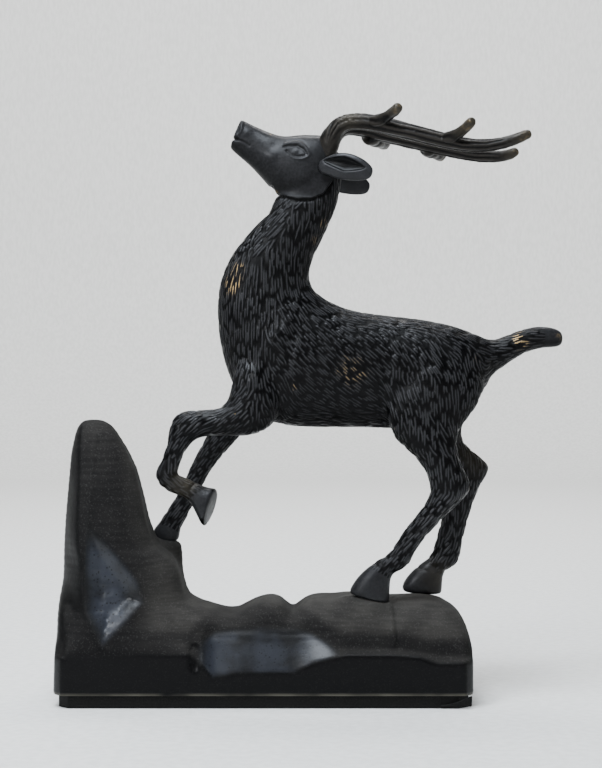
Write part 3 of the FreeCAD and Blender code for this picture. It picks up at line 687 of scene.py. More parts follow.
@dataclass
class Stag:
    """The stag's body, head, legs and tail.

    Attributes:
        cell: the skin's cell.
        hair_length: the length of a chased hair.
        hair_width: half of a hair's width.
        hair_gap: the least distance between two hairs.
        hair_height: how far a hair stands out.
        hair_grid: the spacing of the hairs' roots.
        hair_step: the distance between two points of a hair.
        seed: which random set the hairs come from.
        track: how far each hoof stands from the middle plane.
        sole_turn: how far the lifted hoof's sole turns outwards.
        cleft_width: the width of the cleft in a hoof.
        cleft_depth: its depth.
    """

    cell: float = 0.31
    hair_length: float = 9.0
    hair_width: float = 0.56
    hair_gap: float = 0.66
    hair_height: float = 0.32
    hair_grid: float = 0.9
    hair_step: float = 0.5
    seed: int = 11
    track: float = 13.0
    sole_turn: float = 0.34
    cleft_width: float = 0.55
    cleft_depth: float = 0.8

    def build(self) -> None:
        """Models the figure, chases it, and saws it into castings."""
        limbs = [
            limb("trunk", TRUNK, 24),
            limb("skull", SKULL, 24),
            limb("tail_core", TAIL),
            limb("left_hind", LEFT_HIND_LEG),
            limb("right_hind", RIGHT_HIND_LEG),
            limb("left_fore", LEFT_FORE_LEG),
            limb("right_fore", RIGHT_FORE_LEG),
        ]
        figure = Bench.join("figure", limbs)
        Bench.remesh(figure, self.cell)
        clay = Clay(figure)
        LOG.info("figure: %d points", len(clay.co))
        self._blend(clay)
        self._muscles(clay)
        self._face(clay)
        self._hooves(clay)
        clay.relax(np.ones(len(clay.co)), 2)
        self._chase(clay)
        clay.write()
        self._saw(figure)

    def _blend(self, clay: Clay) -> None:
        """Rounds the hollows where the limbs run into the trunk.

        Args:
            clay: the figure's skin.
        """
        spots = [
            ((60, -9, 112), 16), ((60, 9, 112), 16), ((80, -9, 118), 16), ((80, 9, 118), 16),
            ((2, -9, 113), 13), ((-14, -9, 122), 14), ((-14, 9, 122), 14), ((0, 9, 114), 13),
            ((75, 0, 112), 14), ((94, 0, 145), 9), ((70, -10, 146), 18), ((70, 10, 146), 18),
            ((0, -9, 142), 18), ((0, 9, 142), 18), ((93, 0, 130), 11), ((52, -12, 135), 14),
            ((52, 12, 135), 14), ((86, -10, 132), 14), ((86, 10, 132), 14), ((31, 0, 222), 8),
        ]
        weight = np.zeros(len(clay.co))
        for at, radius in spots:
            weight = np.maximum(weight, clay.near(at, radius * 1.3))
        cheek = clay.from_line([(8.0, 208.6), (16.0, 212.4), (24.5, 217.0)])
        weight = np.maximum(weight, np.exp(-((cheek / 5.0) ** 2)) * (np.abs(clay.co[:, 1]) > 3))
        clay.relax(np.minimum(1, weight * 1.6), 90)

    def _muscles(self, clay: Clay) -> None:
        """Models the muscles, folds and joints.

        Args:
            clay: the figure's skin.
        """
        for centre, radius, height in [
            ((68.0, -14.0, 134.0), 13.0, 0.9),     # haunch
            ((61.0, -14.0, 122.0), 9.0, 0.7),      # thigh
            ((80.0, -11.0, 128.0), 8.0, 0.6),      # buttock
            ((5.0, -13.0, 147.0), 9.0, 0.9),       # shoulder blade
            ((-3.0, -12.0, 133.0), 9.0, 0.8),      # point of the shoulder
            ((2.0, -13.0, 121.0), 8.0, 0.6),       # elbow
            ((26.0, -14.0, 134.0), 12.0, 0.5),     # ribs
            ((44.0, -12.0, 124.0), 9.0, -0.6),     # flank hollow
            ((15.0, -13.0, 133.0), 7.0, -0.7),     # hollow behind the elbow
            ((-12.0, -8.0, 160.0), 10.0, 0.5),     # front of the neck
            ((12.0, -8.0, 168.0), 9.0, -0.5),      # hollow before the withers
            ((-34.5, -15.0, 111.0), 4.0, 0.4),     # knee
            ((-12.7, -14.0, 116.3), 4.0, 0.7),     # upper fore leg
        ]:
            clay.swell(centre, radius, height)
        clay.crease([(51.0, 136.0), (49.0, 127.0), (48.0, 118.0), (50.4, 110.0)], 4.6, -0.9, 0, 5.0)
        clay.crease([(54.0, 139.0), (52.4, 130.0), (52.0, 119.0)], 5.0, 0.4, 0, 6.0)
        clay.crease([(9.5, 153.0), (4.0, 147.0), (-2.0, 139.0), (-5.0, 130.0)], 5.5, 0.6, 0, 6.0)
        clay.crease([(12.5, 150.0), (8.5, 140.0), (9.5, 128.0), (6.0, 117.0)], 5.0, -0.6, 0, 6.0)
        clay.crease([(80.2, 92.0), (76.4, 83.0), (68.0, 73.5), (60.0, 63.0)], 1.8, 0.35, -1, 14.5)
        clay.crease([(77.2, 94.5), (73.0, 84.5), (65.5, 74.5), (57.6, 64.0)], 1.6, -0.45, -1, 14.0)
        clay.crease([(83.6, 95.0), (82.0, 84.0), (80.4, 72.0), (77.0, 60.0)], 1.8, -0.45, 1, 14.0)
        clay.crease([(-35.4, 106.0), (-38.0, 98.0), (-39.6, 93.5)], 1.6, -0.4, -1, 13.6)
        clay.crease([(-27.0, 98.0), (-32.5, 86.0), (-36.0, 78.0)], 1.6, -0.4, 1, 13.0)

    def _face(self, clay: Clay) -> None:
        """Models the jaw's edge, eyes, nostrils and mouth.

        Args:
            clay: the figure's skin.
        """
        co = clay.co
        jaw = clay.from_line(JAW_LINE)
        below = self._below_jaw(co)
        near_jaw = np.exp(-((jaw / 1.3) ** 2)) * (co[:, 2] > 200)
        normals = clay.normals()
        clay.co += normals * (near_jaw * np.where(below, -0.75, 0.35))[:, None]
        eye = (12.8, -8.4, 224.8)
        clay.swell((12.8, -9.0, 225.0), 4.6, -0.8)
        clay.swell(eye, 2.1, 1.0)
        clay.crease([(7.8, 226.6), (10.2, 227.0), (13.4, 226.9), (15.8, 225.4), (17.2, 223.4)], 0.8, -0.55)
        clay.crease([(8.4, 227.8), (11.2, 228.4), (14.4, 228.2), (16.8, 226.4), (18.4, 222.8)], 1.2, 0.32)
        clay.crease([(8.8, 228.9), (12.0, 229.8), (15.4, 229.0), (17.6, 226.4)], 0.7, -0.25)
        clay.crease([(9.0, 224.8), (10.8, 223.0), (13.4, 222.2), (16.4, 222.6)], 0.8, -0.5)
        clay.crease([(10.0, 222.9), (12.6, 221.3), (15.6, 221.1), (17.6, 222.0)], 1.0, 0.28)
        clay.swell((0.2, 0.0, 200.8), 5.5, -1.2, both=False)
        clay.swell((3.0, -6.4, 222.6), 4.5, 0.4)
        clay.swell((15.0, -9.0, 212.5), 7.5, 0.7)
        clay.swell((4.5, -6.6, 227.6), 4.0, -0.35)
        clay.crease([(-15.4, 230.9), (-13.6, 230.4), (-11.4, 230.0)], 1.0, -0.9, 0, 0.0)
        clay.crease([(-12.0, 230.0), (-9.0, 229.0), (-6.4, 227.2)], 0.8, -0.3, 0, 1.0)
        clay.crease([(-10.6, 236.8), (-11.2, 234.6), (-11.0, 232.8)], 1.0, -0.7, 0, 1.6)
        clay.crease([(-9.4, 237.4), (-9.6, 234.6), (-10.4, 232.2)], 0.9, 0.35, 0, 1.6)
        clay.swell((-7.0, -4.6, 233.0), 3.0, 0.3)

    @staticmethod
    def _below_jaw(co: np.ndarray) -> np.ndarray:
        """Finds the points on the neck's side of the jaw's edge.

        Args:
            co: the points.

        Returns:
            Whether each point is on that side.
        """
        x, z = co[:, 0], co[:, 2]
        line = np.array(JAW_LINE)
        edge = np.interp(x, line[:, 0], line[:, 1])
        return (z < edge) | (x > 27.8 + (z - 212.5) * 0.1) | (x < 3.2) & (z < 211)

    def _hooves(self, clay: Clay) -> None:
        """Turns the lifted hoof's sole a little outwards and cleaves the hooves.

        Args:
            clay: the figure's skin.
        """
        co = clay.co
        x, y, z = co.T
        lifted = fade(x, -33, -22) * (y < 0) * (z < 92) * (z > 68) * (x < -15)
        co[:, 0] += lifted * self.sole_turn * (y + self.track)
        clay.crease([(-31.0, 84.5), (-29.0, 88.0), (-27.0, 89.5)], 1.2, -0.35, -1, 8.0)
        clay.crease([(45.0, 56.0), (48.0, 53.0), (52.0, 52.4)], 1.2, -0.3, -1, 8.0)
        clay.crease([(63.0, 52.0), (68.0, 50.4), (76.0, 50.2)], 1.2, -0.3, 1, 8.0)
        cleft = np.exp(-(((np.abs(co[:, 1]) - self.track) / self.cleft_width) ** 2))
        front = np.zeros(len(co))
        for at, radius in (((38.0, -13.0, 48.0), 8.0), ((60.0, 13.0, 46.0), 8.0)):
            front = np.maximum(front, clay.near(at, radius))
        clay.co -= clay.normals() * (cleft * front * self.cleft_depth)[:, None]

    def _chase(self, clay: Clay) -> None:
        """Chases the fur: raised hairs that follow the way the coat lies.

        Args:
            clay: the figure's skin.
        """
        co, normals = clay.co, clay.normals()
        bare = np.zeros(len(co))
        for at, radius in BARE:
            bare = np.maximum(bare, 1 - fade(np.linalg.norm(co - at, axis=1), radius - 1.5, radius + 1.0))
        face = (co[:, 2] > 203.5) & ~self._below_jaw(co)
        coat = (1 - bare) * np.where(face, 0.0, 1.0)
        coat *= 1 - 0.35 * fade(np.abs(co[:, 1]) * -1 + 13, 9, 13) * (co[:, 2] > 110)
        height = self._stamp(co, *self._comb(co, normals, coat))
        broad = waves(co, 9.0, 3) * 0.10
        clay.co = co + normals * ((height - 0.42) * self.hair_height * coat + broad * coat)[:, None]
        self._record(clay, co, height, coat)

    def _flow(self, co: np.ndarray) -> np.ndarray:
        """The way the coat lies at each point, before it is laid on the skin.

        Args:
            co: the points.

        Returns:
            One direction of length 1 for each point.
        """
        total = np.zeros((len(co), 3))
        for lie in LIES:
            gap = (co[:, 0] - lie.at[0]) ** 2 + (co[:, 2] - lie.at[1]) ** 2
            if lie.y is not None:
                gap = gap + (co[:, 1] - lie.y) ** 2
            weight = 1 / (gap + 6.0) ** 2
            total += weight[:, None] * (np.array([lie.way[0], 0.0, lie.way[1]]) / math.hypot(*lie.way))
        return total / np.linalg.norm(total, axis=1, keepdims=True)

    def _comb(self, co: np.ndarray, normals: np.ndarray, coat: np.ndarray) -> tuple[np.ndarray, ...]:
        """Lays hairs on the skin side by side, each as long as the room that its neighbours leave.

        Args:
            co: the skin's points.
            normals: their normals.
            coat: how thick the coat is at each.

        Returns:
            Points on the hairs, their headings and normals, how far along its hair each is, and how long
            that hair is.
        """
        random = np.random.default_rng(self.seed)
        roots = []
        for _ in range(2):
            grid = np.floor(co / self.hair_grid + random.uniform(0, 1, 3)).astype(np.int64)
            order = random.permutation(len(co))
            _, first = np.unique(grid[order], axis=0, return_index=True)
            roots.append(order[first])
        roots = random.permutation(np.concatenate(roots))
        roots = roots[coat[roots] > 0.15]
        tree = kdtree.KDTree(len(co))
        for k, point in enumerate(co):
            tree.insert(point, k)
        tree.balance()
        place, on = co[roots].copy(), roots.copy()
        turn = random.normal(0, 0.035, len(roots))
        bend = random.normal(0.0, 0.007, len(roots))
        length = self.hair_length * random.uniform(0.7, 1.25, len(roots))
        length *= 1 + 0.3 * fade(co[roots, 2], 150, 175)
        step = self.hair_step
        line, heading, outward = [], [], []
        for k in range(int(length.max() / step) + 1):
            up = normals[on]
            way = self._flow(place)
            way -= up * (way * up).sum(1, keepdims=True)
            way /= np.linalg.norm(way, axis=1, keepdims=True) + 1e-9
            side = np.cross(up, way)
            angle = (turn + bend * k)[:, None]
            way = way * np.cos(angle) + side * np.sin(angle)
            line.append(place)
            heading.append(way)
            outward.append(up)
            found = [tree.find(point) for point in place + way * step]
            place = np.array([hit[0] for hit in found])
            on = np.array([hit[1] for hit in found])
        line, heading, outward = (np.stack(rows, axis=1) for rows in (line, heading, outward))
        keep = self._make_room(line, (length / step).astype(int))
        rows = [(k, np.arange(count)) for k, count in keep]
        hair = np.concatenate([np.full(len(steps), k) for k, steps in rows])
        along_hair = np.concatenate([steps for _, steps in rows])
        whole = np.concatenate([np.full(len(steps), max(len(steps) - 1, 1)) for _, steps in rows])
        return (
            line[hair, along_hair], heading[hair, along_hair], outward[hair, along_hair],
            along_hair / whole, whole * step,
        )

    def _make_room(self, line: np.ndarray, counts: np.ndarray) -> list[tuple[int, int]]:
        """Chooses hairs that don't run into each other.

        Args:
            line: each hair's points.
            counts: how many of them it would have if it had room.

        Returns:
            The chosen hairs and how many points each keeps.
        """
        cell, low = 0.27, line.reshape(-1, 3).min(0) - 3
        spots = ((line - low) / cell).astype(int)
        taken = np.zeros(spots.reshape(-1, 3).max(0) + 12, dtype=bool)
        reach = int(self.hair_gap / cell + 0.5)
        span = np.arange(-reach, reach + 1)
        ball = (span[:, None, None] ** 2 + span[None, :, None] ** 2 + span[None, None, :] ** 2) * cell**2
        ball = ball <= self.hair_gap**2
        keep = []
        for k, count in enumerate(counts):
            path = spots[k, :count]
            blocked = taken[path[:, 0], path[:, 1], path[:, 2]]
            room = int(np.argmax(blocked)) if blocked.any() else count
            if room < min(7, count):
                continue
            for x, y, z in path[:room]:
                taken[x - reach:x + reach + 1, y - reach:y + reach + 1, z - reach:z + reach + 1] |= ball
            keep.append((k, room))
        LOG.info("fur: %d hairs", len(keep))
        return keep

    def _stamp(
        self, co: np.ndarray, points: np.ndarray, headings: np.ndarray, ups: np.ndarray, places: np.ndarray,
        length: np.ndarray,
    ) -> np.ndarray:
        """How high the hairs stand at each point of the skin.

        Args:
            co: the skin's points.
            points: the points on the hairs.
            headings: which way the hair runs at each.
            ups: the skin's normal at each.
            places: how far along its hair each is, from 0 to 1.
            length: the length of each one's hair.

        Returns:
            The heights, from 0 to 1.
        """
        tree = kdtree.KDTree(len(points))
        for k, point in enumerate(points):
            tree.insert(point, k)
        tree.balance()
        count = 4
        found = np.array([[hit[1] for hit in tree.find_n(point, count)] for point in co])
        height = np.zeros(len(co))
        for k in range(count):
            near = found[:, k]
            gap = co - points[near]
            forth = (gap * headings[near]).sum(1)
            rise = (gap * ups[near]).sum(1)
            side = np.sqrt(np.maximum((gap**2).sum(1) - forth**2 - rise**2, 0))
            t = places[near] + forth / length[near]
            width = self.hair_width * (1.0 - 0.35 * np.clip(t, 0, 1) ** 2)
            ridge = np.clip(1 - side / width, 0, 1)
            body = fade(t, -0.06, 0.25) * (1 - fade(t, 0.75, 1.05))
            height = np.maximum(height, ridge * body * (np.abs(forth) < 0.8))
        return height

    @staticmethod
    def _record(clay: Clay, co: np.ndarray, height: np.ndarray, coat: np.ndarray) -> None:
        """Stores what the finish reads: the hairs' height, darkened on the undersides as painted shade, the
        rubbed places and the grime.

        Args:
            clay: the figure's skin.
            co: its points before they were chased.
            height: how high the hairs stand at each.
            coat: how thick the coat is at each.
        """
        rub = np.zeros(len(co))
        for at, radius, strength in [
            ((-13.6, -8.5, 170.0), 6.0, 1.2), ((-11.4, -8.5, 176.5), 4.5, 0.8),
            ((36.0, -13.6, 134.5), 10.5, 0.5), ((11.8, -13.8, 128.4), 3.4, 0.5),
            ((105.5, -3.6, 147.0), 5.0, 1.0), ((121.5, -2.5, 149.0), 4.0, 0.28),
            ((27.0, -8.6, 163.5), 5.0, 0.35), ((4.0, -3.5, 207.8), 2.2, 0.6),
            ((2.0, -5.0, 203.0), 3.0, 0.6), ((-4.0, -6.0, 196.0), 5.0, 0.45),
            ((24.5, -5.0, 195.0), 5.0, 0.4), ((2.5, -3.0, 232.8), 1.4, 0.6),
            ((21.0, -6.0, 188.0), 5.0, 0.35), ((75.0, -13.5, 150.0), 8.0, 0.25),
            ((52.5, -13.0, 112.0), 5.0, 0.2), ((86.0, -10.0, 140.0), 6.0, 0.25),
            ((84.0, -13.0, 86.8), 3.0, 0.6),
        ]:
            spot = clay.near(at, radius * 1.25)
            mirror = clay.near((at[0], -at[1], at[2]), radius * 1.25)
            rub = np.maximum(rub, strength * np.maximum(spot, 0.8 * mirror))
        patchy = 0.75 + 0.25 * waves(co, 4.2, 21, 2)
        crest = np.where(coat > 0.2, fade(height, 0.55, 0.95), 0.75)
        # Painted shade: the hairs are made darker on surfaces that face down, standing in for the shade under
        # the body.
        painted_underside_shade = 1 - 0.6 * fade(-clay.normals()[:, 2], -0.05, 0.55) * (co[:, 2] > 100)
        clay.attribute("fur", np.where(coat > 0.05, height, 0.6) * painted_underside_shade)
        clay.attribute("rub", rub * patchy * crest * 1.35)
        khaki = np.maximum(clay.near((-33.0, -13.0, 88.0), 9.0), clay.near((-10.0, -9.0, 230.0), 4.0) * 0.3)
        khaki = np.maximum(khaki, 0.6 * clay.near((72.0, 13.0, 47.0), 12.0))
        khaki = np.maximum(khaki, 0.55 * clay.near((88.0, 11.0, 100.0), 14.0))
        clay.attribute("khaki", khaki * (0.7 + 0.3 * waves(co, 4.0, 33)))

    def _saw(self, figure: bpy.types.Object) -> None:
        """Saws the castings off the figure one after the other.

        Args:
            figure: the whole figure. What is left of it becomes the barrel.
        """
        for saw in SAWS:
            casting = self._saw_off(figure, saw)
            self._register(casting, saw.node)
        figure.name = figure.data.name = "barrel_casting"
        self._register(figure, "trunk_and_neck")

    @staticmethod
    def _register(casting: bpy.types.Object, node: str) -> None:
        """Finishes one casting and hides the node that it stands for.

        Args:
            casting: the sawn casting.
            node: the node that it replaces.
        """
        Bench.smooth_by_angle(casting, 80)
        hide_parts(node)
        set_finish(casting, "bronze_coat")
        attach(casting, ROOT)
        LOG.info("%s: %d faces", casting.name, len(casting.data.polygons))

    @staticmethod
    def _saw_off(figure: bpy.types.Object, saw: Saw) -> bpy.types.Object:
        """Cuts along a plane, inside a room, and separates what lies beyond.

        Args:
            figure: the mesh that is sawn.
            saw: the cut.

        Returns:
            The casting that came off.
        """
        mesh = figure.data

        def select(beyond: bool) -> None:
            """Selects the room's faces.

            Args:
                beyond: whether only those beyond the cut.
            """
            centres = np.empty(len(mesh.polygons) * 3)
            mesh.polygons.foreach_get("center", centres)
            centres = centres.reshape(-1, 3) / MM
            inside = ((centres > saw.low) & (centres < saw.high)).all(1)
            if beyond:
                inside &= (centres - saw.at) @ np.array(saw.way) > 0
            mesh.vertices.foreach_set("select", np.zeros(len(mesh.vertices), dtype=bool))
            mesh.edges.foreach_set("select", np.zeros(len(mesh.edges), dtype=bool))
            mesh.polygons.foreach_set("select", inside)

        Bench.pick(figure)
        bpy.ops.object.mode_set(mode="EDIT")
        bpy.ops.mesh.select_mode(type="FACE")
        bpy.ops.object.mode_set(mode="OBJECT")
        select(False)
        bpy.ops.object.mode_set(mode="EDIT")
        bpy.ops.mesh.bisect(plane_co=Vector(saw.at) * MM, plane_no=saw.way)
        bpy.ops.object.mode_set(mode="OBJECT")
        select(True)
        bpy.ops.object.mode_set(mode="EDIT")
        bpy.ops.mesh.separate(type="SELECTED")
        bpy.ops.object.mode_set(mode="OBJECT")
        casting = next(o for o in bpy.context.selected_objects if o is not figure)
        casting.name = casting.data.name = saw.name
        for piece in (figure, casting):
            Bench.pick(piece)
            bpy.ops.object.mode_set(mode="EDIT")
            bpy.ops.mesh.select_mode(type="EDGE")
            bpy.ops.mesh.select_all(action="DESELECT")
            bpy.ops.mesh.select_non_manifold(extend=False, use_wire=False, use_multi_face=False,
                                             use_non_contiguous=False, use_verts=False)
            bpy.ops.mesh.edge_face_add()
            bpy.ops.object.mode_set(mode="OBJECT")
        return casting


# ------------------------------------------------------------------------------------------ antlers, ears
@dataclass(frozen=True)
class Tine:
    """One tine of an antler.

    Attributes:
        foot: where it grows from the beam.
        tip: its worn end.
        girth: how thick it is beside the others.
    """

    foot: Point
    tip: Point
    girth: float = 1.0


LEFT_BEAM = [
    (25.0, -3.0, 220.6, 9.0, 5.4), (25.6, -3.8, 226.0, 9.6, 7.4), (27.2, -4.6, 231.0, 9.0, 8.0),
    (30.2, -5.4, 235.2, 7.4, 7.6),
    (34.4, -6.6, 236.9, 6.6, 7.4), (40.5, -8.2, 236.8, 6.8, 7.0), (48.0, -10.0, 235.2, 6.8, 6.8),
    (58.0, -11.6, 232.2, 6.8, 6.6), (69.0, -13.0, 229.2, 6.4, 6.2), (80.0, -14.2, 226.2, 5.8, 5.6),
    (90.0, -15.2, 225.4, 5.2, 5.0), (98.5, -15.8, 226.8, 4.8, 4.5), (105.4, -16.2, 229.6, 4.6, 4.2),
    (108.4, -16.4, 231.0, 3.4, 3.2),
]
RIGHT_BEAM = [
    (25.0, 3.0, 220.6, 9.0, 5.4), (25.6, 3.8, 226.0, 9.6, 7.4), (27.2, 4.6, 231.0, 9.0, 8.0),
    (30.2, 5.4, 235.2, 7.4, 7.6),
    (34.4, 6.6, 236.9, 6.6, 7.4), (40.5, 8.2, 236.4, 6.8, 7.0), (48.0, 10.0, 234.6, 6.6, 6.8),
    (58.0, 11.6, 232.4, 6.4, 6.6), (69.0, 13.0, 229.9, 6.2, 6.2), (80.0, 14.2, 227.4, 5.6, 5.6),
    (90.0, 15.2, 225.6, 5.2, 5.0), (98.5, 15.8, 225.2, 5.0, 4.5), (104.8, 16.2, 226.8, 4.8, 4.2),
    (107.4, 16.4, 228.6, 3.4, 3.2),
]


@dataclass
class Antlers:
    """The two antlers, swept back, each with two worn tines.

    Attributes:
        cell: the skin's cell.
        tines: the tines of the left and right antler.
    """

    cell: float = 0.36
    tines: dict[str, tuple[Tine, Tine]] = field(default_factory=lambda: {
        "left": (
            Tine((43.0, -9.0, 235.8), (54.2, -23.8, 240.4)), Tine((72.6, -13.4, 228.2), (83.4, -26.8, 234.2))
        ),
        "right": (
            Tine((42.0, 8.6, 233.6), (50.8, 24.6, 232.4), 1.35),
            Tine((67.0, 12.6, 229.0), (75.2, 27.0, 227.8), 1.3)
        ),
    })

    def build(self) -> None:
        """Models both antlers."""
        for side, path in (("left", LEFT_BEAM), ("right", RIGHT_BEAM)):
            beam = limb("beam", beads(path))
            parts = [beam] + [self._tine(tine) for tine in self.tines[side]]
            antler = Bench.join(f"{side}_antler_casting", parts)
            Bench.remesh(antler, self.cell)
            self._wear(Clay(antler), path)
            Bench.smooth_by_angle(antler, 80)
            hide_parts(f"{side}_antler")
            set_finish(antler, "bronze_antler")
            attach(antler, ROOT)

    @staticmethod
    def _tine(tine: Tine) -> bpy.types.Object:
        """Models one tine, thick at its foot, bulging and worn at its tip.

        Args:
            tine: where it stands and how thick it is.

        Returns:
            The tine, not yet joined to its beam.
        """
        foot, tip = Vector(tine.foot), Vector(tine.tip)
        sizes = [(0.0, 6.2), (0.25, 5.0), (0.5, 4.4), (0.75, 4.3), (0.93, 4.4), (1.02, 3.2)]
        bow = Vector((1.6, 0.0, -0.6))
        path = []
        for along, size in sizes:
            place = foot.lerp(tip, along) + bow * math.sin(math.pi * along)
            path.append((*place, size * tine.girth, size * tine.girth))
        return limb("tine", beads(path), 16)

    @staticmethod
    def _wear(clay: Clay, beam: list[tuple[float, float, float, float, float]]) -> None:
        """Furrows the beam lengthwise and marks the rubbed tips and the left one's brazed patch.

        Args:
            clay: the antler's skin.
            beam: the beam's sections.
        """
        co = clay.co
        path = np.array(beam)
        middle = np.stack([np.interp(co[:, 0], path[:, 0], path[:, axis]) for axis in (1, 2)], axis=1)
        turn = np.arctan2(co[:, 2] - middle[:, 1], co[:, 1] - middle[:, 0])
        wander = waves(co * (0.35, 1, 1), 14.0, 5) * 0.5
        root = (1 - fade(co[:, 2], 228.0, 234.5)) * (co[:, 0] < 33)
        furrow = np.sin(turn * 9 + wander * 5 + co[:, 0] * 0.05) * (1 - 0.85 * root)
        smooth_end = fade(co[:, 0], 92, 102)
        rough = waves(co, 2.4, 8, 2)
        braze = clay.near((35.0, -9.0, 238.0), 8.5)
        depth = furrow * 0.16 * (1 - smooth_end) + rough * 0.10 + braze * waves(co, 1.5, 9, 2) * 0.32
        clay.co = co + clay.normals() * depth[:, None]
        tips = np.maximum(fade(np.abs(co[:, 1]), 18, 25), fade(co[:, 0], 98, 107))
        clay.write()
        clay.attribute("fur", 0.5 + 0.1 * root + 0.5 * furrow * (1 - smooth_end))
        clay.attribute("rub", 0.26 * tips * (0.6 + 0.4 * rough))
        clay.attribute("khaki", np.maximum(0.55 * tips, braze * 0.5))


LEFT_EAR = [
    (22.4, -7.4, 217.8, 5.0, 4.0), (25.2, -9.2, 218.2, 7.0, 3.8), (28.2, -10.4, 218.3, 9.8, 4.0),
    (31.5, -11.8, 218.0, 11.4, 4.2), (35.5, -12.9, 217.2, 11.0, 3.9), (39.4, -13.7, 216.0, 9.2, 3.2),
    (42.4, -14.1, 214.9, 6.4, 2.4), (44.0, -14.3, 214.4, 3.4, 1.6),
]


@dataclass
class Ears:
    """The two ears, laid back. The right one is carried lower.

    Attributes:
        drops: how much lower each ear is.
    """

    drops: dict[str, float] = field(default_factory=lambda: {"left": 0.0, "right": 2.7})

    def build(self) -> None:
        """Models both ears."""
        for side, way in (("left", 1.0), ("right", -1.0)):
            drop = self.drops[side]
            path = [(x, y * way, z - drop, high, wide) for x, y, z, high, wide in LEFT_EAR]
            ear = limb(f"{side}_ear_casting", beads(path), 20, 3)
            Bench.remesh(ear, 0.25)
            clay = Clay(ear)
            outer = fade(clay.normals()[:, 1] * -way, 0.1, 0.8)
            u = (clay.co[:, 0] - 32.6) / 8.6
            v = (clay.co[:, 2] - (218.6 - drop) + (clay.co[:, 0] - 32.6) * 0.20) / (3.2 - 1.4 * np.abs(u))
            dish = np.clip(1 - u**2 - v**2, 0, 1) ** 0.5
            clay.co[:, 1] += way * 2.0 * dish * outer
            clay.relax(np.ones(len(clay.co)), 2)
            clay.write()
            clay.attribute("fur", np.clip(0.75 - 1.3 * dish * outer, 0, 1))
            clay.attribute("rub", 0.03 * (1 - dish))
            clay.attribute("khaki", np.zeros(len(clay.co)))
            Bench.smooth_by_angle(ear, 80)
            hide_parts(f"{side}_ear")
            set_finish(ear, "bronze_coat")
            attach(ear, ROOT)


# ------------------------------------------------------------------------------------------ the rock
Course = list[Flat]
CRAG_TOP = 113.6
# Heights along the ridge: where its wall, its broken face and its rounded top end.
WALL_TOP: Course = [
    (-84, 20.0), (-60, 21.4), (-30, 21.5), (-24, 17.5), (-20, 12.4), (-10.8, 14.3), (12.5, 14.5),
    (19.3, 18.0), (33, 21.5), (52, 21.4), (62, 20.8), (69.6, 18.0), (84, 18.4),
]
CHIP_TOP: Course = [
    (-84, 21.5), (-30, 23.0), (-25, 27.0), (-19.4, 29.6), (-10, 30.9), (-1, 31.9), (13, 31.2), (20, 29.0),
    (31, 22.8), (52, 22.6), (70, 20.0), (84, 20.0),
]
RIDGE_TOP: Course = [
    (-84, 46), (-40, 45.0), (-33, 41.4), (-24, 38.0), (-16.6, 35.6), (-11.6, 34.6), (-6.2, 38.8),
    (2.1, 42.0), (7.6, 40.4), (11.3, 33.6), (15.6, 39.4), (22.8, 42.0), (28, 41.0), (34, 42.8), (46, 40.4),
    (54, 41.0), (62, 41.6), (72, 41.0), (76.0, 38.4), (80.4, 35.4), (83.0, 30.6), (84.6, 21.5),
]
# The crag's left and right edges at each height.
CRAG_LEFT: Course = [
    (5, -84.5), (27, -83.8), (46, -82.8), (82, -81.4), (102, -79.9), (110, -78.4), (CRAG_TOP, -75.6),
]
CRAG_RIGHT: Course = [
    (5, -30), (30, -31), (43.5, -32.8), (51.8, -35), (58, -38.5), (63, -45.5), (72.6, -48.7), (81, -50.3),
    (93.3, -53.6), (101.6, -57.0), (107, -60.2), (110.7, -63.0), (CRAG_TOP, -67.5),
]
# Half of the crag's width at each height, and the share of it at each place from its left to its right edge.
CRAG_HALF: Course = [
    (5, 29.4), (22, 29.4), (34, 27.6), (50, 25.2), (70, 21.0), (88, 16.4), (102, 11.2), (110, 7.0),
    (CRAG_TOP, 3.6),
]
CRAG_PLAN: Course = [
    (0, 0.42), (0.1, 0.72), (0.2, 0.96), (0.36, 1.0), (0.6, 0.95), (0.8, 0.82), (0.93, 0.66), (1, 0.5),
]
# The crease down the crag's left edge, and the outline of the scoop beside it.
CRAG_EDGE = [(-69.0, 108.0), (-70.2, 90.5), (-71.0, 71.0), (-71.8, 49.0), (-71.0, 38.0), (-64.6, 24.0)]
SCOOP = [
    (-71.2, 72.2), (-71.8, 49.4), (-71.0, 37.6), (-64.3, 23.9), (-47.5, 41.4), (-50.7, 50.5), (-61.9, 64.5),
]


def along(course: Course, at: np.ndarray) -> np.ndarray:
    """Reads a course's height at many places."""
    table = np.array(course)
    return np.interp(at, table[:, 0], table[:, 1])


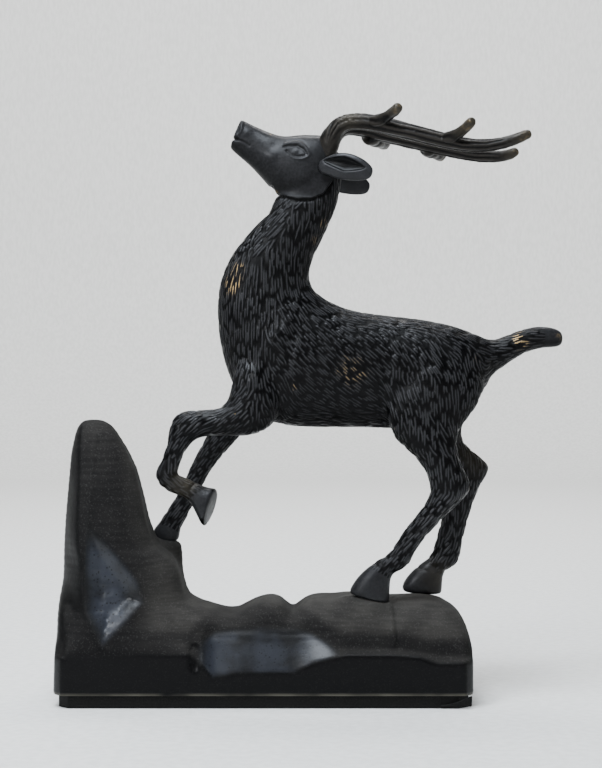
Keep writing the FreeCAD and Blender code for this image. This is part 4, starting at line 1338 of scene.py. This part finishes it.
@dataclass
class Rock:
    """The rock: a low ridge with a broken front, an upright crag and a pad under each planted hoof.

    Attributes:
        cell: the skin's cell.
        foot: the height of its lower rim.
        half: half of its width.
        half_length: half of its length.
        corner: how long its cut corners are.
    """

    cell: float = 0.85
    foot: float = 5.0
    half: float = 29.4
    half_length: float = 84.0
    corner: float = 3.4

    def build(self) -> None:
        """Models the rock as one skin."""
        blocks = [
            self._ridge(),
            self._crag(),
            limb("left_hind_pad", [
                rib((54.5, 8.0), (27.5, 8.0), 12.0, -14.5), rib((54.5, 26.0), (28.0, 27.0), 10.4, -13.8),
                rib((53.8, 37.5), (28.4, 40.5), 8.4, -13.2), rib((52.8, 41.0), (29.4, 44.8), 6.8, -13.0),
            ], 24, 1),
            limb("right_hind_pad", [
                rib((76.5, 10.0), (54.0, 10.0), 11.0, 13.0), rib((76.0, 34.0), (55.0, 34.0), 9.0, 13.0),
                rib((74.6, 40.0), (57.0, 40.2), 6.8, 13.0),
            ], 24, 1),
            limb("right_fore_pad", [
                rib((-33.4, 40.0), (-56.0, 40.0), 9.0, 12.0), rib((-34.6, 54.0), (-52.0, 54.0), 7.8, 12.0),
                rib((-34.8, 61.0), (-50.0, 62.0), 7.2, 12.0), rib((-35.4, 63.4), (-49.0, 65.0), 6.4, 12.0),
            ], 24, 1),
        ]
        rock = Bench.join("rock_casting", blocks)
        Bench.remesh(rock, self.cell)
        clay = Clay(rock)
        LOG.info("rock: %d points", len(clay.co))
        self._soften(clay)
        self._break_faces(clay)
        clay.write()
        self._trim(rock)
        self._finish(Clay(rock))
        Bench.smooth_by_angle(rock, 60)
        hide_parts("rock_base")
        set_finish(rock, "black_enamel_rock")
        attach(rock, ROOT)

    @staticmethod
    def _block(name: str, cuts: int) -> tuple[bpy.types.Object, np.ndarray]:
        """A finely divided cube.

        Args:
            name: the block's name.
            cuts: how often each edge is cut.

        Returns:
            The block and its points, from -1 to 1.
        """
        Bench.deselect()
        bpy.ops.mesh.primitive_cube_add(size=2)
        block = Bench.named(name)
        bpy.ops.object.mode_set(mode="EDIT")
        bpy.ops.mesh.subdivide(number_cuts=cuts)
        bpy.ops.object.mode_set(mode="OBJECT")
        co = np.empty(len(block.data.vertices) * 3)
        block.data.vertices.foreach_get("co", co)
        return block, co.reshape(-1, 3)

    def _ridge(self) -> bpy.types.Object:
        """The ridge: walls, then a broken face, then a rounded top.

        Returns:
            The ridge's block.
        """
        block, unit = self._block("ridge", 90)
        x = unit[:, 0] * self.half_length
        rise = (unit[:, 2] + 1) / 2
        wall, chip, top = along(WALL_TOP, x), along(CHIP_TOP, x), along(RIDGE_TOP, x)
        back = unit[:, 1] > 0
        wall = np.where(back, 19.0 + 2.0 * np.sin(x / 13.0), wall)
        chip = np.where(back, 27.0 + 3.0 * np.sin(x / 17.0 + 1.0), chip)
        top = np.maximum(top, chip + 2)
        marks = np.array([0.0, 0.3, 0.55, 0.75, 0.9, 1.0])
        crown = top - chip
        heights = [np.full(len(x), self.foot), wall, chip, chip + crown * 0.62, chip + crown * 0.93, top]
        broken = (fade(x, -27, -20) - fade(x, 16, 32)) * (unit[:, 1] < 0)
        widths = [1.0, 1.0, 0.9 - 0.17 * broken, 0.8 - 0.12 * broken, 0.54, 0.2]
        z, wide = np.zeros(len(x)), np.zeros(len(x))
        for k in range(len(marks) - 1):
            on = (rise >= marks[k]) & (rise <= marks[k + 1])
            t = np.clip((rise - marks[k]) / (marks[k + 1] - marks[k]), 0, 1)
            z = np.where(on, heights[k] * (1 - t) + heights[k + 1] * t, z)
            wide = np.where(on, widths[k] * (1 - t) + widths[k + 1] * t, wide)
        plan = self.half - np.maximum(0, np.abs(x) - (self.half_length - self.corner)) * 1.3
        co = np.stack([x, unit[:, 1] * wide * plan, z], axis=1)
        self._put(block, co)
        return block

    def _crag(self) -> bpy.types.Object:
        """The upright crag, with a flattened left edge.

        Returns:
            The crag's block.
        """
        block, unit = self._block("crag", 80)
        z = self.foot + (unit[:, 2] + 1) / 2 * (CRAG_TOP - self.foot)
        left, right = along(CRAG_LEFT, z), along(CRAG_RIGHT, z)
        t = (unit[:, 0] + 1) / 2
        x = left + (right - left) * t
        low = 1 - fade(z, 20, 40)
        plan = along(CRAG_PLAN, t)
        square = np.clip(1.0 - np.maximum(0, 0.1 - t) * 2.0, 0, 1)
        y = unit[:, 1] * along(CRAG_HALF, z) * (plan * (1 - low) + square * low)
        domed = z + (1 - unit[:, 1] ** 2) * fade(z, 105, CRAG_TOP)
        self._put(block, np.stack([x, y, domed], axis=1))
        return block

    @staticmethod
    def _put(block: bpy.types.Object, co: np.ndarray) -> None:
        """Moves a block's points."""
        block.data.vertices.foreach_set("co", (co * MM).ravel())
        block.data.update()

    def _soften(self, clay: Clay) -> None:
        """Rounds the cast top, and keeps the broken edges crisp.

        Args:
            clay: the rock's skin.
        """
        co = clay.co
        over_wall, over_chip = co[:, 2] - along(WALL_TOP, co[:, 0]), co[:, 2] - along(CHIP_TOP, co[:, 0])
        edge = np.minimum(np.abs(over_wall), np.abs(over_chip))
        crisp = (1 - fade(edge, 1.0, 4.0)) * (co[:, 1] < -20)
        clay.relax(np.ones(len(co)) * (co[:, 2] > self.foot + 1.5), 3)
        clay.relax((1 - crisp) * fade(co[:, 2], 22, 30) * (1 - fade(co[:, 2], 46, 60)), 60)
        clay.relax(fade(co[:, 2], 46, 60), 14)

    @staticmethod
    def _inside(co: np.ndarray, outline: list[Flat]) -> np.ndarray:
        """How far inside an outline of the front view each point is.

        Args:
            co: the points.
            outline: the outline's X and Z corners.

        Returns:
            The distances, negative outside.
        """
        x, z = co[:, 0], co[:, 2]
        inside = np.zeros(len(co), dtype=bool)
        best = np.full(len(co), np.inf)
        for (ax, az), (bx, bz) in zip(outline, outline[1:] + outline[:1]):
            crosses = (az > z) != (bz > z)
            with np.errstate(divide="ignore", invalid="ignore"):
                inside ^= crosses & (x < (bx - ax) * (z - az) / (bz - az) + ax)
            length = (bx - ax) ** 2 + (bz - az) ** 2
            t = np.clip(((x - ax) * (bx - ax) + (z - az) * (bz - az)) / length, 0, 1)
            best = np.minimum(best, np.hypot(x - ax - t * (bx - ax), z - az - t * (bz - az)))
        return np.where(inside, best, -best)

    def _break_faces(self, clay: Clay) -> None:
        """Cuts the scoop, the small chip and the crease before the hind pads, and roughens the faces.

        Args:
            clay: the rock's skin.
        """
        co, normals = clay.co, clay.normals()
        front = normals[:, 1] < -0.2
        scoop = self._inside(co, SCOOP)
        dish = fade(scoop, -0.4, 7.0)
        small = 1 - ((co[:, 0] + 27.4) / 2.7) ** 2 - ((co[:, 2] - 20.0) / 5.4) ** 2
        lean = 1.0 + 3.0 * fade(co[:, 2], 22, 46) - 1.8 * fade(co[:, 2], 46, 72)
        step = np.where(front, dish * lean + 1.4 * np.sqrt(np.clip(small, 0, 1)), 0)
        clay.co[:, 1] += step
        rough = waves(co, 5.5, 41) * 0.35 * fade(scoop, 0, 5) * front
        broad = waves(co, 26.0, 43, 2) * 0.35 * fade(co[:, 2], 20, 30)
        ripple = np.sin(co[:, 2] * 2.1 + waves(co * (0.2, 0.2, 1), 9, 44) * 3) * 0.05 * fade(co[:, 2], 24, 30)
        clay.co += normals * (rough + broad + ripple)[:, None]
        clay.crease(CRAG_EDGE, 1.5, 0.5, -1, 2.0)
        clay.crease([(52.6, 42.0), (53.4, 34.0), (54.2, 24.0)], 1.7, -0.7, -1, 2.0)
        clay.crease([(50.6, 42.0), (51.2, 34.0), (52.0, 25.0)], 1.8, 0.4, -1, 2.0)

    def _trim(self, rock: bpy.types.Object) -> None:
        """Cuts the lower rim flat and closes it.

        Args:
            rock: the rock.
        """
        Bench.pick(rock)
        bpy.ops.object.mode_set(mode="EDIT")
        bpy.ops.mesh.select_all(action="SELECT")
        bpy.ops.mesh.bisect(
            plane_co=(0, 0, (self.foot + 0.2) * MM), plane_no=(0, 0, 1), clear_inner=True, use_fill=True
        )
        bpy.ops.object.mode_set(mode="OBJECT")
        co = np.empty(len(rock.data.vertices) * 3)
        rock.data.vertices.foreach_get("co", co)
        co = co.reshape(-1, 3)
        co[co[:, 2] < (self.foot + 0.3) * MM, 2] = self.foot * MM
        rock.data.vertices.foreach_set("co", co.ravel())
        rock.data.update()

    def _finish(self, clay: Clay) -> None:
        """Stores where the enamel is dusty, where it shines, where it is pitted and where a sheen is painted
        on it.

        Args:
            clay: the finished rock's skin.
        """
        co, normals = clay.co, clay.normals()
        up = fade(normals[:, 2], -0.1, 0.75)
        scoop = fade(self._inside(co, SCOOP), -0.8, 3.5) * (co[:, 1] < 0)
        over_wall, over_chip = co[:, 2] - along(WALL_TOP, co[:, 0]), co[:, 2] - along(CHIP_TOP, co[:, 0])
        chip = fade(over_wall, -0.6, 1.2) * (co[:, 1] < -18)
        chip *= 1 - fade(over_chip, -3.5, 0.6)
        chip *= fade(co[:, 0], -27, -21) * (1 - fade(co[:, 0], 22, 34))
        wall = 1 - fade(over_wall, -1.0, 0.8)
        strip = fade(-normals[:, 0], 0.2, 0.6) * (co[:, 0] < -60)
        shine = np.clip(np.maximum.reduce([scoop, chip, wall * 0.9, strip * 0.7]), 0, 1)
        right = 0.7 * fade(normals[:, 0], 0.1, 0.8) * (1 - fade(co[:, 0], -30, -20)) * fade(co[:, 2], 36, 44)
        top = fade(over_chip, 3, 10) * fade(co[:, 0], -58, -38) * (1 - fade(co[:, 2], 50, 75))
        dust = (1 - shine) * np.clip(np.maximum.reduce([up * 0.5, right * 0.9, top * 0.95]) + 0.04, 0, 1)
        dust *= 0.8 + 0.2 * waves(co, 14.0, 51)
        rim = (1 - fade(co[:, 2], 5.0, 6.4)) * (0.35 + 0.35 * waves(co * (0.3, 1, 1), 6.0, 52))
        clay.attribute("dust", dust)
        clay.attribute("shine", shine)
        clay.attribute("rim", np.clip(rim, 0, 1))
        # Painted reflection: this mask also lays a lighter bluish colour on the scoop and the chip, besides
        # marking their pits.
        clay.attribute("pits_and_painted_sheen", np.maximum(scoop, chip * 0.7))


@dataclass
class Underside:
    """The sheet under the rock, whose front right corner has come away.

    Attributes:
        mitre: how far its corners are cut back.
    """

    mitre: float = 4.0

    def build(self) -> None:
        """Models the sheet with its loose corner."""
        low, high = (Vector(corner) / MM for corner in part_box("base_sheet"))
        Bench.deselect()
        bpy.ops.mesh.primitive_cube_add(size=1, location=(low + high) / 2 * MM, scale=(high - low) * MM)
        sheet = Bench.named("loose_cornered_sheet")
        Bench.settle(sheet)
        bpy.ops.object.mode_set(mode="EDIT")
        for x, y in ((1, 1), (1, -1), (-1, 1), (-1, -1)):
            corner = Vector((high.x if x > 0 else low.x, high.y if y > 0 else low.y, 0))
            bpy.ops.mesh.select_all(action="SELECT")
            place = (corner - Vector((x * self.mitre, 0, 0))) * MM
            bpy.ops.mesh.bisect(plane_co=place, plane_no=(x, y, 0), clear_outer=True, use_fill=True)
        bpy.ops.object.mode_set(mode="OBJECT")
        flap = self._flap(high)
        piece = Bench.join("loose_cornered_sheet", [sheet, flap])
        Bench.smooth_by_angle(piece, 40)
        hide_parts("base_sheet")
        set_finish(piece, "leatherette_sheet")
        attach(piece, ROOT)

    @staticmethod
    def _flap(high: Vector) -> bpy.types.Object:
        """The corner that has come away and curls up in front of the rim.

        Args:
            high: the sheet's highest corner.

        Returns:
            The flap.
        """
        Bench.deselect()
        bpy.ops.mesh.primitive_grid_add(x_subdivisions=14, y_subdivisions=6, size=2)
        flap = Bench.named("flap")
        co = np.empty(len(flap.data.vertices) * 3)
        flap.data.vertices.foreach_get("co", co)
        unit = co.reshape(-1, 3)
        u, v = (unit[:, 0] + 1) / 2, (unit[:, 1] + 1) / 2
        x = 70.5 + 12.4 * u
        y = -high.y * 1.0 - 0.4 - 1.9 * v * (0.3 + 0.7 * u)
        z = 0.7 + v * (0.6 + 4.2 * u**1.6)
        flap.data.vertices.foreach_set("co", (np.stack([x, y, z], axis=1) * MM).ravel())
        flap.data.update()
        Bench.apply(flap, "SOLIDIFY", thickness=0.45 * MM, offset=0.0)
        Bench.apply(flap, "SUBSURF", levels=1)
        return flap


# ------------------------------------------------------------------------------------------ finishes
Colour = tuple[float, float, float]


class Nodes:
    """A short hand for building a node tree."""

    def __init__(self, tree: bpy.types.NodeTree) -> None:
        """Works on a tree."""
        self.tree = tree

    def add(self, kind: str, inputs: dict | None = None, **settings: object) -> bpy.types.Node:
        """Adds a node.

        Args:
            kind: the node's type, without ShaderNode.
            inputs: sockets to set or to link, by name or number.
            settings: the node's properties.

        Returns:
            The node.
        """
        node = self.tree.nodes.new("ShaderNode" + kind)
        for name, value in settings.items():
            setattr(node, name, value)
        for name, value in (inputs or {}).items():
            if isinstance(value, bpy.types.NodeSocket):
                self.tree.links.new(value, node.inputs[name])
            else:
                node.inputs[name].default_value = value
        return node

    def noise(self, scale: float, detail: float = 3.0, stretch: Point = (1, 1, 1)) -> bpy.types.NodeSocket:
        """Noise in object space; the scale is in waves per metre."""
        inputs = {"Scale": scale, "Detail": detail, "Stretch": stretch}
        return self.add("Group", inputs, node_tree=cast_grain()).outputs["Fac"]

    def ramp(
        self, value: bpy.types.NodeSocket, low: float, high: float, to: Flat = (0, 1)
    ) -> bpy.types.NodeSocket:
        """Stretches a value from low and high to a new range."""
        inputs = {0: value, 1: low, 2: high, 3: to[0], 4: to[1]}
        return self.add("MapRange", inputs, interpolation_type="SMOOTHSTEP").outputs[0]

    def math(self, kind: str, a: object, b: object) -> bpy.types.NodeSocket:
        """One arithmetic step."""
        return self.add("Math", {0: a, 1: b}, operation=kind, use_clamp=False).outputs[0]

    def mix(self, share: object, a: object, b: object) -> bpy.types.NodeSocket:
        """Mixes two colours.

        Args:
            share: how much of the second colour there is, from 0 to 1.
            a: the first colour.
            b: the second colour.

        Returns:
            The mixed colour's socket.
        """
        inputs = {0: share}
        for slot, value in ((6, a), (7, b)):
            inputs[slot] = (*value, 1.0) if isinstance(value, tuple) else value
        return self.add("Mix", inputs, data_type="RGBA").outputs[2]

    def attribute(self, name: str) -> bpy.types.NodeSocket:
        """Reads a point value."""
        return self.add("Attribute", attribute_name=name).outputs["Fac"]


def cast_grain() -> bpy.types.NodeTree:
    """The noise that every finish is broken up with: one node group, made once and shared.

    Returns:
        The group. Its inputs are Scale, Detail and Stretch, and it puts out Fac.
    """
    name = "cast_grain"
    if name in bpy.data.node_groups:
        return bpy.data.node_groups[name]
    group = bpy.data.node_groups.new(name, "ShaderNodeTree")
    for socket in ("Scale", "Detail"):
        group.interface.new_socket(name=socket, in_out="INPUT", socket_type="NodeSocketFloat")
    group.interface.new_socket(name="Stretch", in_out="INPUT", socket_type="NodeSocketVector")
    group.interface.new_socket(name="Fac", in_out="OUTPUT", socket_type="NodeSocketFloat")
    inside = Nodes(group)
    given = group.nodes.new("NodeGroupInput").outputs
    place = inside.add("TexCoord").outputs["Object"]
    mapped = inside.add("Mapping", {"Vector": place, "Scale": given["Stretch"]}).outputs[0]
    noise = inside.add("TexNoise", {"Vector": mapped, "Scale": given["Scale"], "Detail": given["Detail"]})
    group.links.new(noise.outputs["Fac"], group.nodes.new("NodeGroupOutput").inputs["Fac"])
    return group


@dataclass(frozen=True)
class Bronze:
    """Patinated bronze, lighter on its crests and gilded where hands rub it.

    Attributes:
        name: the material's name.
        valley: the patina's colour in the hollows.
        crest: its colour on the crests.
        gold: the bare metal's colour.
        earth: the colour of the greyish brown places.
        roughness: the crests' roughness.
    """

    name: str
    valley: Colour = (0.0008, 0.0008, 0.001)
    crest: Colour = (0.026, 0.026, 0.028)
    gold: Colour = (0.42, 0.29, 0.14)
    earth: Colour = (0.050, 0.043, 0.032)
    roughness: float = 0.34

    def build(self) -> bpy.types.Material:
        """Makes the material.

        Returns:
            The material.
        """
        material, nodes, shader = new_material(self.name)
        fur, rub, khaki = (nodes.attribute(name) for name in ("fur", "rub", "khaki"))
        blotch = nodes.ramp(nodes.noise(90, 4), 0.35, 0.7)
        fine = nodes.ramp(nodes.noise(900, 3), 0.3, 0.7)
        # On the stag's body the fur value also carries painted shade: it is lower on the undersides, which
        # come out darker.
        crest = nodes.ramp(nodes.math("ADD", fur, nodes.math("MULTIPLY", fine, 0.15)), 0.15, 1.0)
        colour = nodes.mix(crest, self.valley, self.crest)
        colour = nodes.mix(nodes.math("MULTIPLY", blotch, 0.35), colour, (0.004, 0.0037, 0.0037))
        colour = nodes.mix(khaki, colour, self.earth)
        gilt = nodes.ramp(nodes.math("ADD", rub, nodes.math("MULTIPLY", fine, 0.10)), 0.16, 0.75)
        colour = nodes.mix(nodes.math("MULTIPLY", gilt, 0.9), colour, self.gold)
        rough = nodes.ramp(nodes.math("ADD", blotch, nodes.math("MULTIPLY", fine, 0.5)), 0, 1.5,
                           (self.roughness - 0.06, self.roughness + 0.16))
        bump = nodes.add("Bump", {"Height": fine, "Strength": 0.12, "Distance": 0.0002}).outputs[0]
        wire(nodes, shader, colour, rough, bump)
        nodes.tree.links.new(nodes.ramp(gilt, 0, 1, (0.25, 0.9)), shader.inputs["Metallic"])
        shader.inputs["Specular IOR Level"].default_value = 0.12
        return material


@dataclass(frozen=True)
class Enamel:
    """Black enamel on rough cast metal, dusty on top, pitted and given a painted sheen where it is broken.

    Attributes:
        name: the material's name.
        black: the enamel's colour.
        dust: the dust's colour.
        painted_sheen: a lighter bluish colour painted on the broken faces, standing in for their reflection.
    """

    name: str
    black: Colour = (0.0014, 0.0014, 0.0017)
    dust: Colour = (0.034, 0.032, 0.029)
    painted_sheen: Colour = (0.020, 0.0225, 0.030)

    def build(self) -> bpy.types.Material:
        """Makes the material.

        Returns:
            The material.
        """
        material, nodes, shader = new_material(self.name)
        dust, shine, rim, pits_and_painted_sheen = (nodes.attribute(name) for name in ("dust", "shine", "rim", "pits_and_painted_sheen"))
        speck = nodes.ramp(nodes.noise(1400, 2), 0.55, 0.68)
        brush = nodes.ramp(nodes.noise(500, 3, (0.25, 0.25, 2.2)), 0.3, 0.7)
        layer = nodes.math("MULTIPLY", dust, nodes.ramp(brush, 0, 1, (0.78, 1.0)))
        colour = nodes.mix(layer, self.black, self.dust)
        uneven = nodes.ramp(nodes.noise(75, 4), 0.35, 0.65, (0.08, 1.0))
        # Painted reflection: the broken faces get a lighter bluish colour in place of the light they would
        # mirror.
        colour = nodes.mix(nodes.math("MULTIPLY", pits_and_painted_sheen, uneven), colour, self.painted_sheen)
        specks = nodes.math("MULTIPLY", speck, nodes.ramp(shine, 0, 1, (0.10, 0.03)))
        colour = nodes.mix(specks, colour, (0.12, 0.115, 0.11))
        colour = nodes.mix(rim, colour, (0.16, 0.15, 0.12))
        polish = nodes.math("SUBTRACT", shine, nodes.math("MULTIPLY", layer, 0.8))
        rough = nodes.ramp(polish, -0.4, 1.0, (0.85, 0.30))
        place = nodes.add("TexCoord").outputs["Object"]
        cells = nodes.add("TexVoronoi", {"Vector": place, "Scale": 620.0, "Randomness": 1.0})
        hole = cells.outputs["Distance"]
        hole = nodes.math("MULTIPLY", nodes.ramp(hole, 0.12, 0.30, (1.0, 0.0)), pits_and_painted_sheen)
        colour = nodes.mix(hole, colour, (0.002, 0.002, 0.002))
        skin, depth = nodes.math("MULTIPLY", nodes.noise(420, 4), 0.6), nodes.math("MULTIPLY", hole, 0.3)
        height = nodes.math("SUBTRACT", skin, depth)
        bump = nodes.add("Bump", {"Height": height, "Strength": 0.35, "Distance": 0.0004}).outputs[0]
        wire(nodes, shader, colour, rough, bump)
        nodes.tree.links.new(nodes.ramp(pits_and_painted_sheen, 0, 1, (0.0, 0.35)), shader.inputs["Coat Weight"])
        shader.inputs["Coat Roughness"].default_value = 0.3
        shader.inputs["Specular IOR Level"].default_value = 0.10
        return material


class Wear(Enum):
    """How a plain finish is broken up."""

    GRAIN = "grain"
    BRUSHED = "brushed"
    POWDER = "powder"


@dataclass(frozen=True)
class Plain:
    """A simple finish for a piece that is mostly hidden.

    Attributes:
        name: the material's name.
        colour: its colour.
        second: the colour that it is broken up with.
        roughness: its roughness.
        metallic: how metallic it is.
        wear: how it is broken up.
        specular: how strongly it mirrors its surroundings.
    """

    name: str
    colour: Colour
    second: Colour
    roughness: float
    metallic: float = 0.0
    wear: Wear = Wear.GRAIN
    specular: float = 0.5

    def build(self) -> bpy.types.Material:
        """Makes the material.

        Returns:
            The material.
        """
        material, nodes, shader = new_material(self.name)
        stretch = {Wear.GRAIN: (1, 1, 1), Wear.BRUSHED: (1, 1, 0.1), Wear.POWDER: (0.6, 0.6, 0.6)}[self.wear]
        grain = nodes.noise(1500 if self.wear is Wear.GRAIN else 700, 4, stretch)
        colour = nodes.mix(nodes.ramp(grain, 0.35, 0.7), self.colour, self.second)
        rough = nodes.ramp(grain, 0.2, 0.8, (self.roughness - 0.08, self.roughness + 0.08))
        bump = nodes.add("Bump", {"Height": grain, "Strength": 0.3, "Distance": 0.0002}).outputs[0]
        wire(nodes, shader, colour, rough, bump)
        shader.inputs["Metallic"].default_value = self.metallic
        shader.inputs["Specular IOR Level"].default_value = self.specular
        return material


def new_material(name: str) -> tuple[bpy.types.Material, Nodes, bpy.types.Node]:
    """Makes an empty material.

    Args:
        name: the material's name.

    Returns:
        The material, its tree and its shader.
    """
    material = bpy.data.materials.new(name)
    material.use_nodes = True
    return material, Nodes(material.node_tree), material.node_tree.nodes["Principled BSDF"]


def wire(nodes: Nodes, shader: bpy.types.Node, colour: object, rough: object, bump: object) -> None:
    """Links a shader's colour, roughness and normal.

    Args:
        nodes: the material's tree.
        shader: its shader.
        colour: the socket that gives the colour.
        rough: the socket that gives the roughness.
        bump: the socket that gives the normal.
    """
    nodes.tree.links.new(colour, shader.inputs["Base Color"])
    nodes.tree.links.new(rough, shader.inputs["Roughness"])
    nodes.tree.links.new(bump, shader.inputs["Normal"])


HIDDEN = {
    "brass_pin": Plain("turned_brass", (0.42, 0.30, 0.12), (0.30, 0.21, 0.09), 0.35, 1.0, Wear.BRUSHED),
    "steel_hardware": Plain("plated_steel", (0.50, 0.50, 0.50), (0.36, 0.35, 0.34), 0.35, 1.0, Wear.BRUSHED),
    "plaster_fill": Plain("plaster", (0.68, 0.65, 0.58), (0.58, 0.55, 0.48), 0.9, 0.0, Wear.POWDER),
    "backing_board": Plain("grey_board", (0.06, 0.055, 0.05), (0.12, 0.10, 0.08), 0.85),
    "leatherette_sheet": Plain(
        "leatherette", (0.004, 0.004, 0.004), (0.010, 0.0095, 0.009), 0.6, specular=0.08
    ),
}


@dataclass
class Finishes:
    """Puts a finish on every piece."""

    frame: dict

    def dress(self) -> None:
        """Gives each node and piece the finish of its slot."""
        made = {name: finish.build() for name, finish in HIDDEN.items()}
        made["bronze_coat"] = Bronze("dark_patina").build()
        antler = Bronze("antler_patina", valley=(0.0025, 0.0022, 0.002), crest=(0.026, 0.023, 0.020))
        made["bronze_antler"] = antler.build()
        made["black_enamel_rock"] = Enamel("black_enamel").build()
        slots = {part["node"]: part["material_slot"] for part in self.frame["record"]["subparts"]}
        for name, piece in self.frame["nodes"].items():
            self._give(piece, made[slots[name]])
        for piece in bpy.data.objects:
            if piece.type == "MESH" and "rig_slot" in piece:
                self._give(piece, made[piece["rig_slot"]])

    @staticmethod
    def _give(piece: bpy.types.Object, material: bpy.types.Material) -> None:
        """Replaces a piece's materials by one."""
        piece.data.materials.clear()
        piece.data.materials.append(material)


# ------------------------------------------------------------------------------------------ the studio
@dataclass
class Studio:
    """The camera, the pale sweep and the soft lights. Its sizes are in metres.

    Attributes:
        floor: the radius of the floor's flat part.
        bend: the radius of the bend that runs up into the backdrop.
        steps: how many steps the bend has.
        backdrop: how high the backdrop goes above the bend.
        eye: where the camera stands.
        lens: its focal length in millimetres.
    """

    floor: float = 1.5
    bend: float = 0.4
    steps: int = 10
    backdrop: float = 0.9
    eye: Point = (0.01494, -0.680, 0.129)
    lens: float = 76.8

    def build(self) -> None:
        """Sets the studio up."""
        self._camera()
        self._sweep()
        self._light("overhead", (-0.15, -0.30, 0.90), (0.0, 0.0, 0.10), 0.5, 17.0, (0.86, 0.93, 1.0))
        self._light("front_left", (-0.70, -0.85, 0.70), (0.0, 0.0, 0.12), 0.35, 8.0, (0.93, 0.96, 1.0))
        self._light("backdrop", (0.0, 0.60, 1.3), (0.0, 1.75, 0.10), 0.9, 30.0, (1.0, 1.0, 1.0))
        self._light("behind_camera", (0.0, -1.1, 1.3), (0.0, -1.85, 0.5), 0.6, 5.0, (1.0, 1.0, 1.0))
        world = bpy.data.worlds.new("soft_room")
        world.use_nodes = True
        world.node_tree.nodes["Background"].inputs[0].default_value = (0.86, 0.90, 0.95, 1)
        world.node_tree.nodes["Background"].inputs[1].default_value = 0.16
        bpy.context.scene.world = world

    def _camera(self) -> None:
        """The camera looks level along +Y."""
        bpy.ops.object.camera_add(location=self.eye, rotation=(math.radians(90), 0, 0))
        camera = bpy.context.object
        camera.data.sensor_fit = "VERTICAL"
        camera.data.sensor_height = 36.0
        camera.data.lens = self.lens
        camera.data.clip_start = 0.01
        bpy.context.scene.camera = camera

    def _sweep(self) -> None:
        """A round floor that runs up into a backdrop on all sides."""
        Bench.deselect()
        bpy.ops.mesh.primitive_circle_add(
            vertices=96, radius=self.floor, fill_type="NGON", location=(0, 0, -0.0002)
        )
        sweep = Bench.named("pale_sweep")
        Bench.settle(sweep)
        bpy.ops.object.mode_set(mode="EDIT")
        bpy.ops.mesh.select_mode(type="EDGE")
        bpy.ops.mesh.select_all(action="SELECT")
        stride = self.bend * math.radians(90) / self.steps
        for k in range(self.steps + 1):
            angle = math.radians(90) * min(k + 0.5, self.steps) / self.steps
            rise = stride * math.sin(angle) if k < self.steps else self.backdrop
            reach = stride * math.cos(angle) if k < self.steps else 0.0
            bpy.ops.mesh.extrude_edges_move(TRANSFORM_OT_translate={"value": (0, 0, rise)})
            grown = 1 + reach / (self.floor + self.bend * math.sin(angle))
            bpy.ops.transform.resize(value=(grown, grown, 1.0), center_override=(0.0, 0.0, 0.0))
        bpy.ops.mesh.select_all(action="SELECT")
        bpy.ops.mesh.normals_make_consistent(inside=True)
        bpy.ops.object.mode_set(mode="OBJECT")
        Bench.smooth_by_angle(sweep, 60)
        material, nodes, shader = new_material("pale_cloth")
        weave = nodes.noise(260, 3, (1, 1, 0.35))
        colour = nodes.mix(nodes.ramp(weave, 0.3, 0.7), (0.70, 0.70, 0.685), (0.78, 0.78, 0.765))
        bump = nodes.add("Bump", {"Height": weave, "Strength": 0.1, "Distance": 0.0005}).outputs[0]
        wire(nodes, shader, colour, nodes.ramp(weave, 0, 1, (0.9, 0.95)), bump)
        sweep.data.materials.append(material)

    @staticmethod
    def _light(name: str, at: Point, to: Point, size: float, power: float, colour: Colour) -> None:
        """Adds a square soft light.

        Args:
            name: the light's name.
            at: where it stands.
            to: where it points.
            size: the length of its side.
            power: its power in watts.
            colour: its colour.
        """
        turn = (Vector(to) - Vector(at)).to_track_quat("-Z", "Y").to_euler()
        bpy.ops.object.light_add(type="AREA", location=at, rotation=turn)
        light = bpy.context.object
        light.name = name
        light.data.size = size
        light.data.energy = power
        light.data.color = colour


def main() -> None:
    """Builds the statuette and its studio."""
    logging.basicConfig(level=logging.INFO, format="%(message)s")
    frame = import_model()
    Bench.deselect()
    Studio().build()
    Rock().build()
    Underside().build()
    Antlers().build()
    Ears().build()
    Stag().build()
    Finishes(frame).dress()


if __name__ == "__main__":
    main()
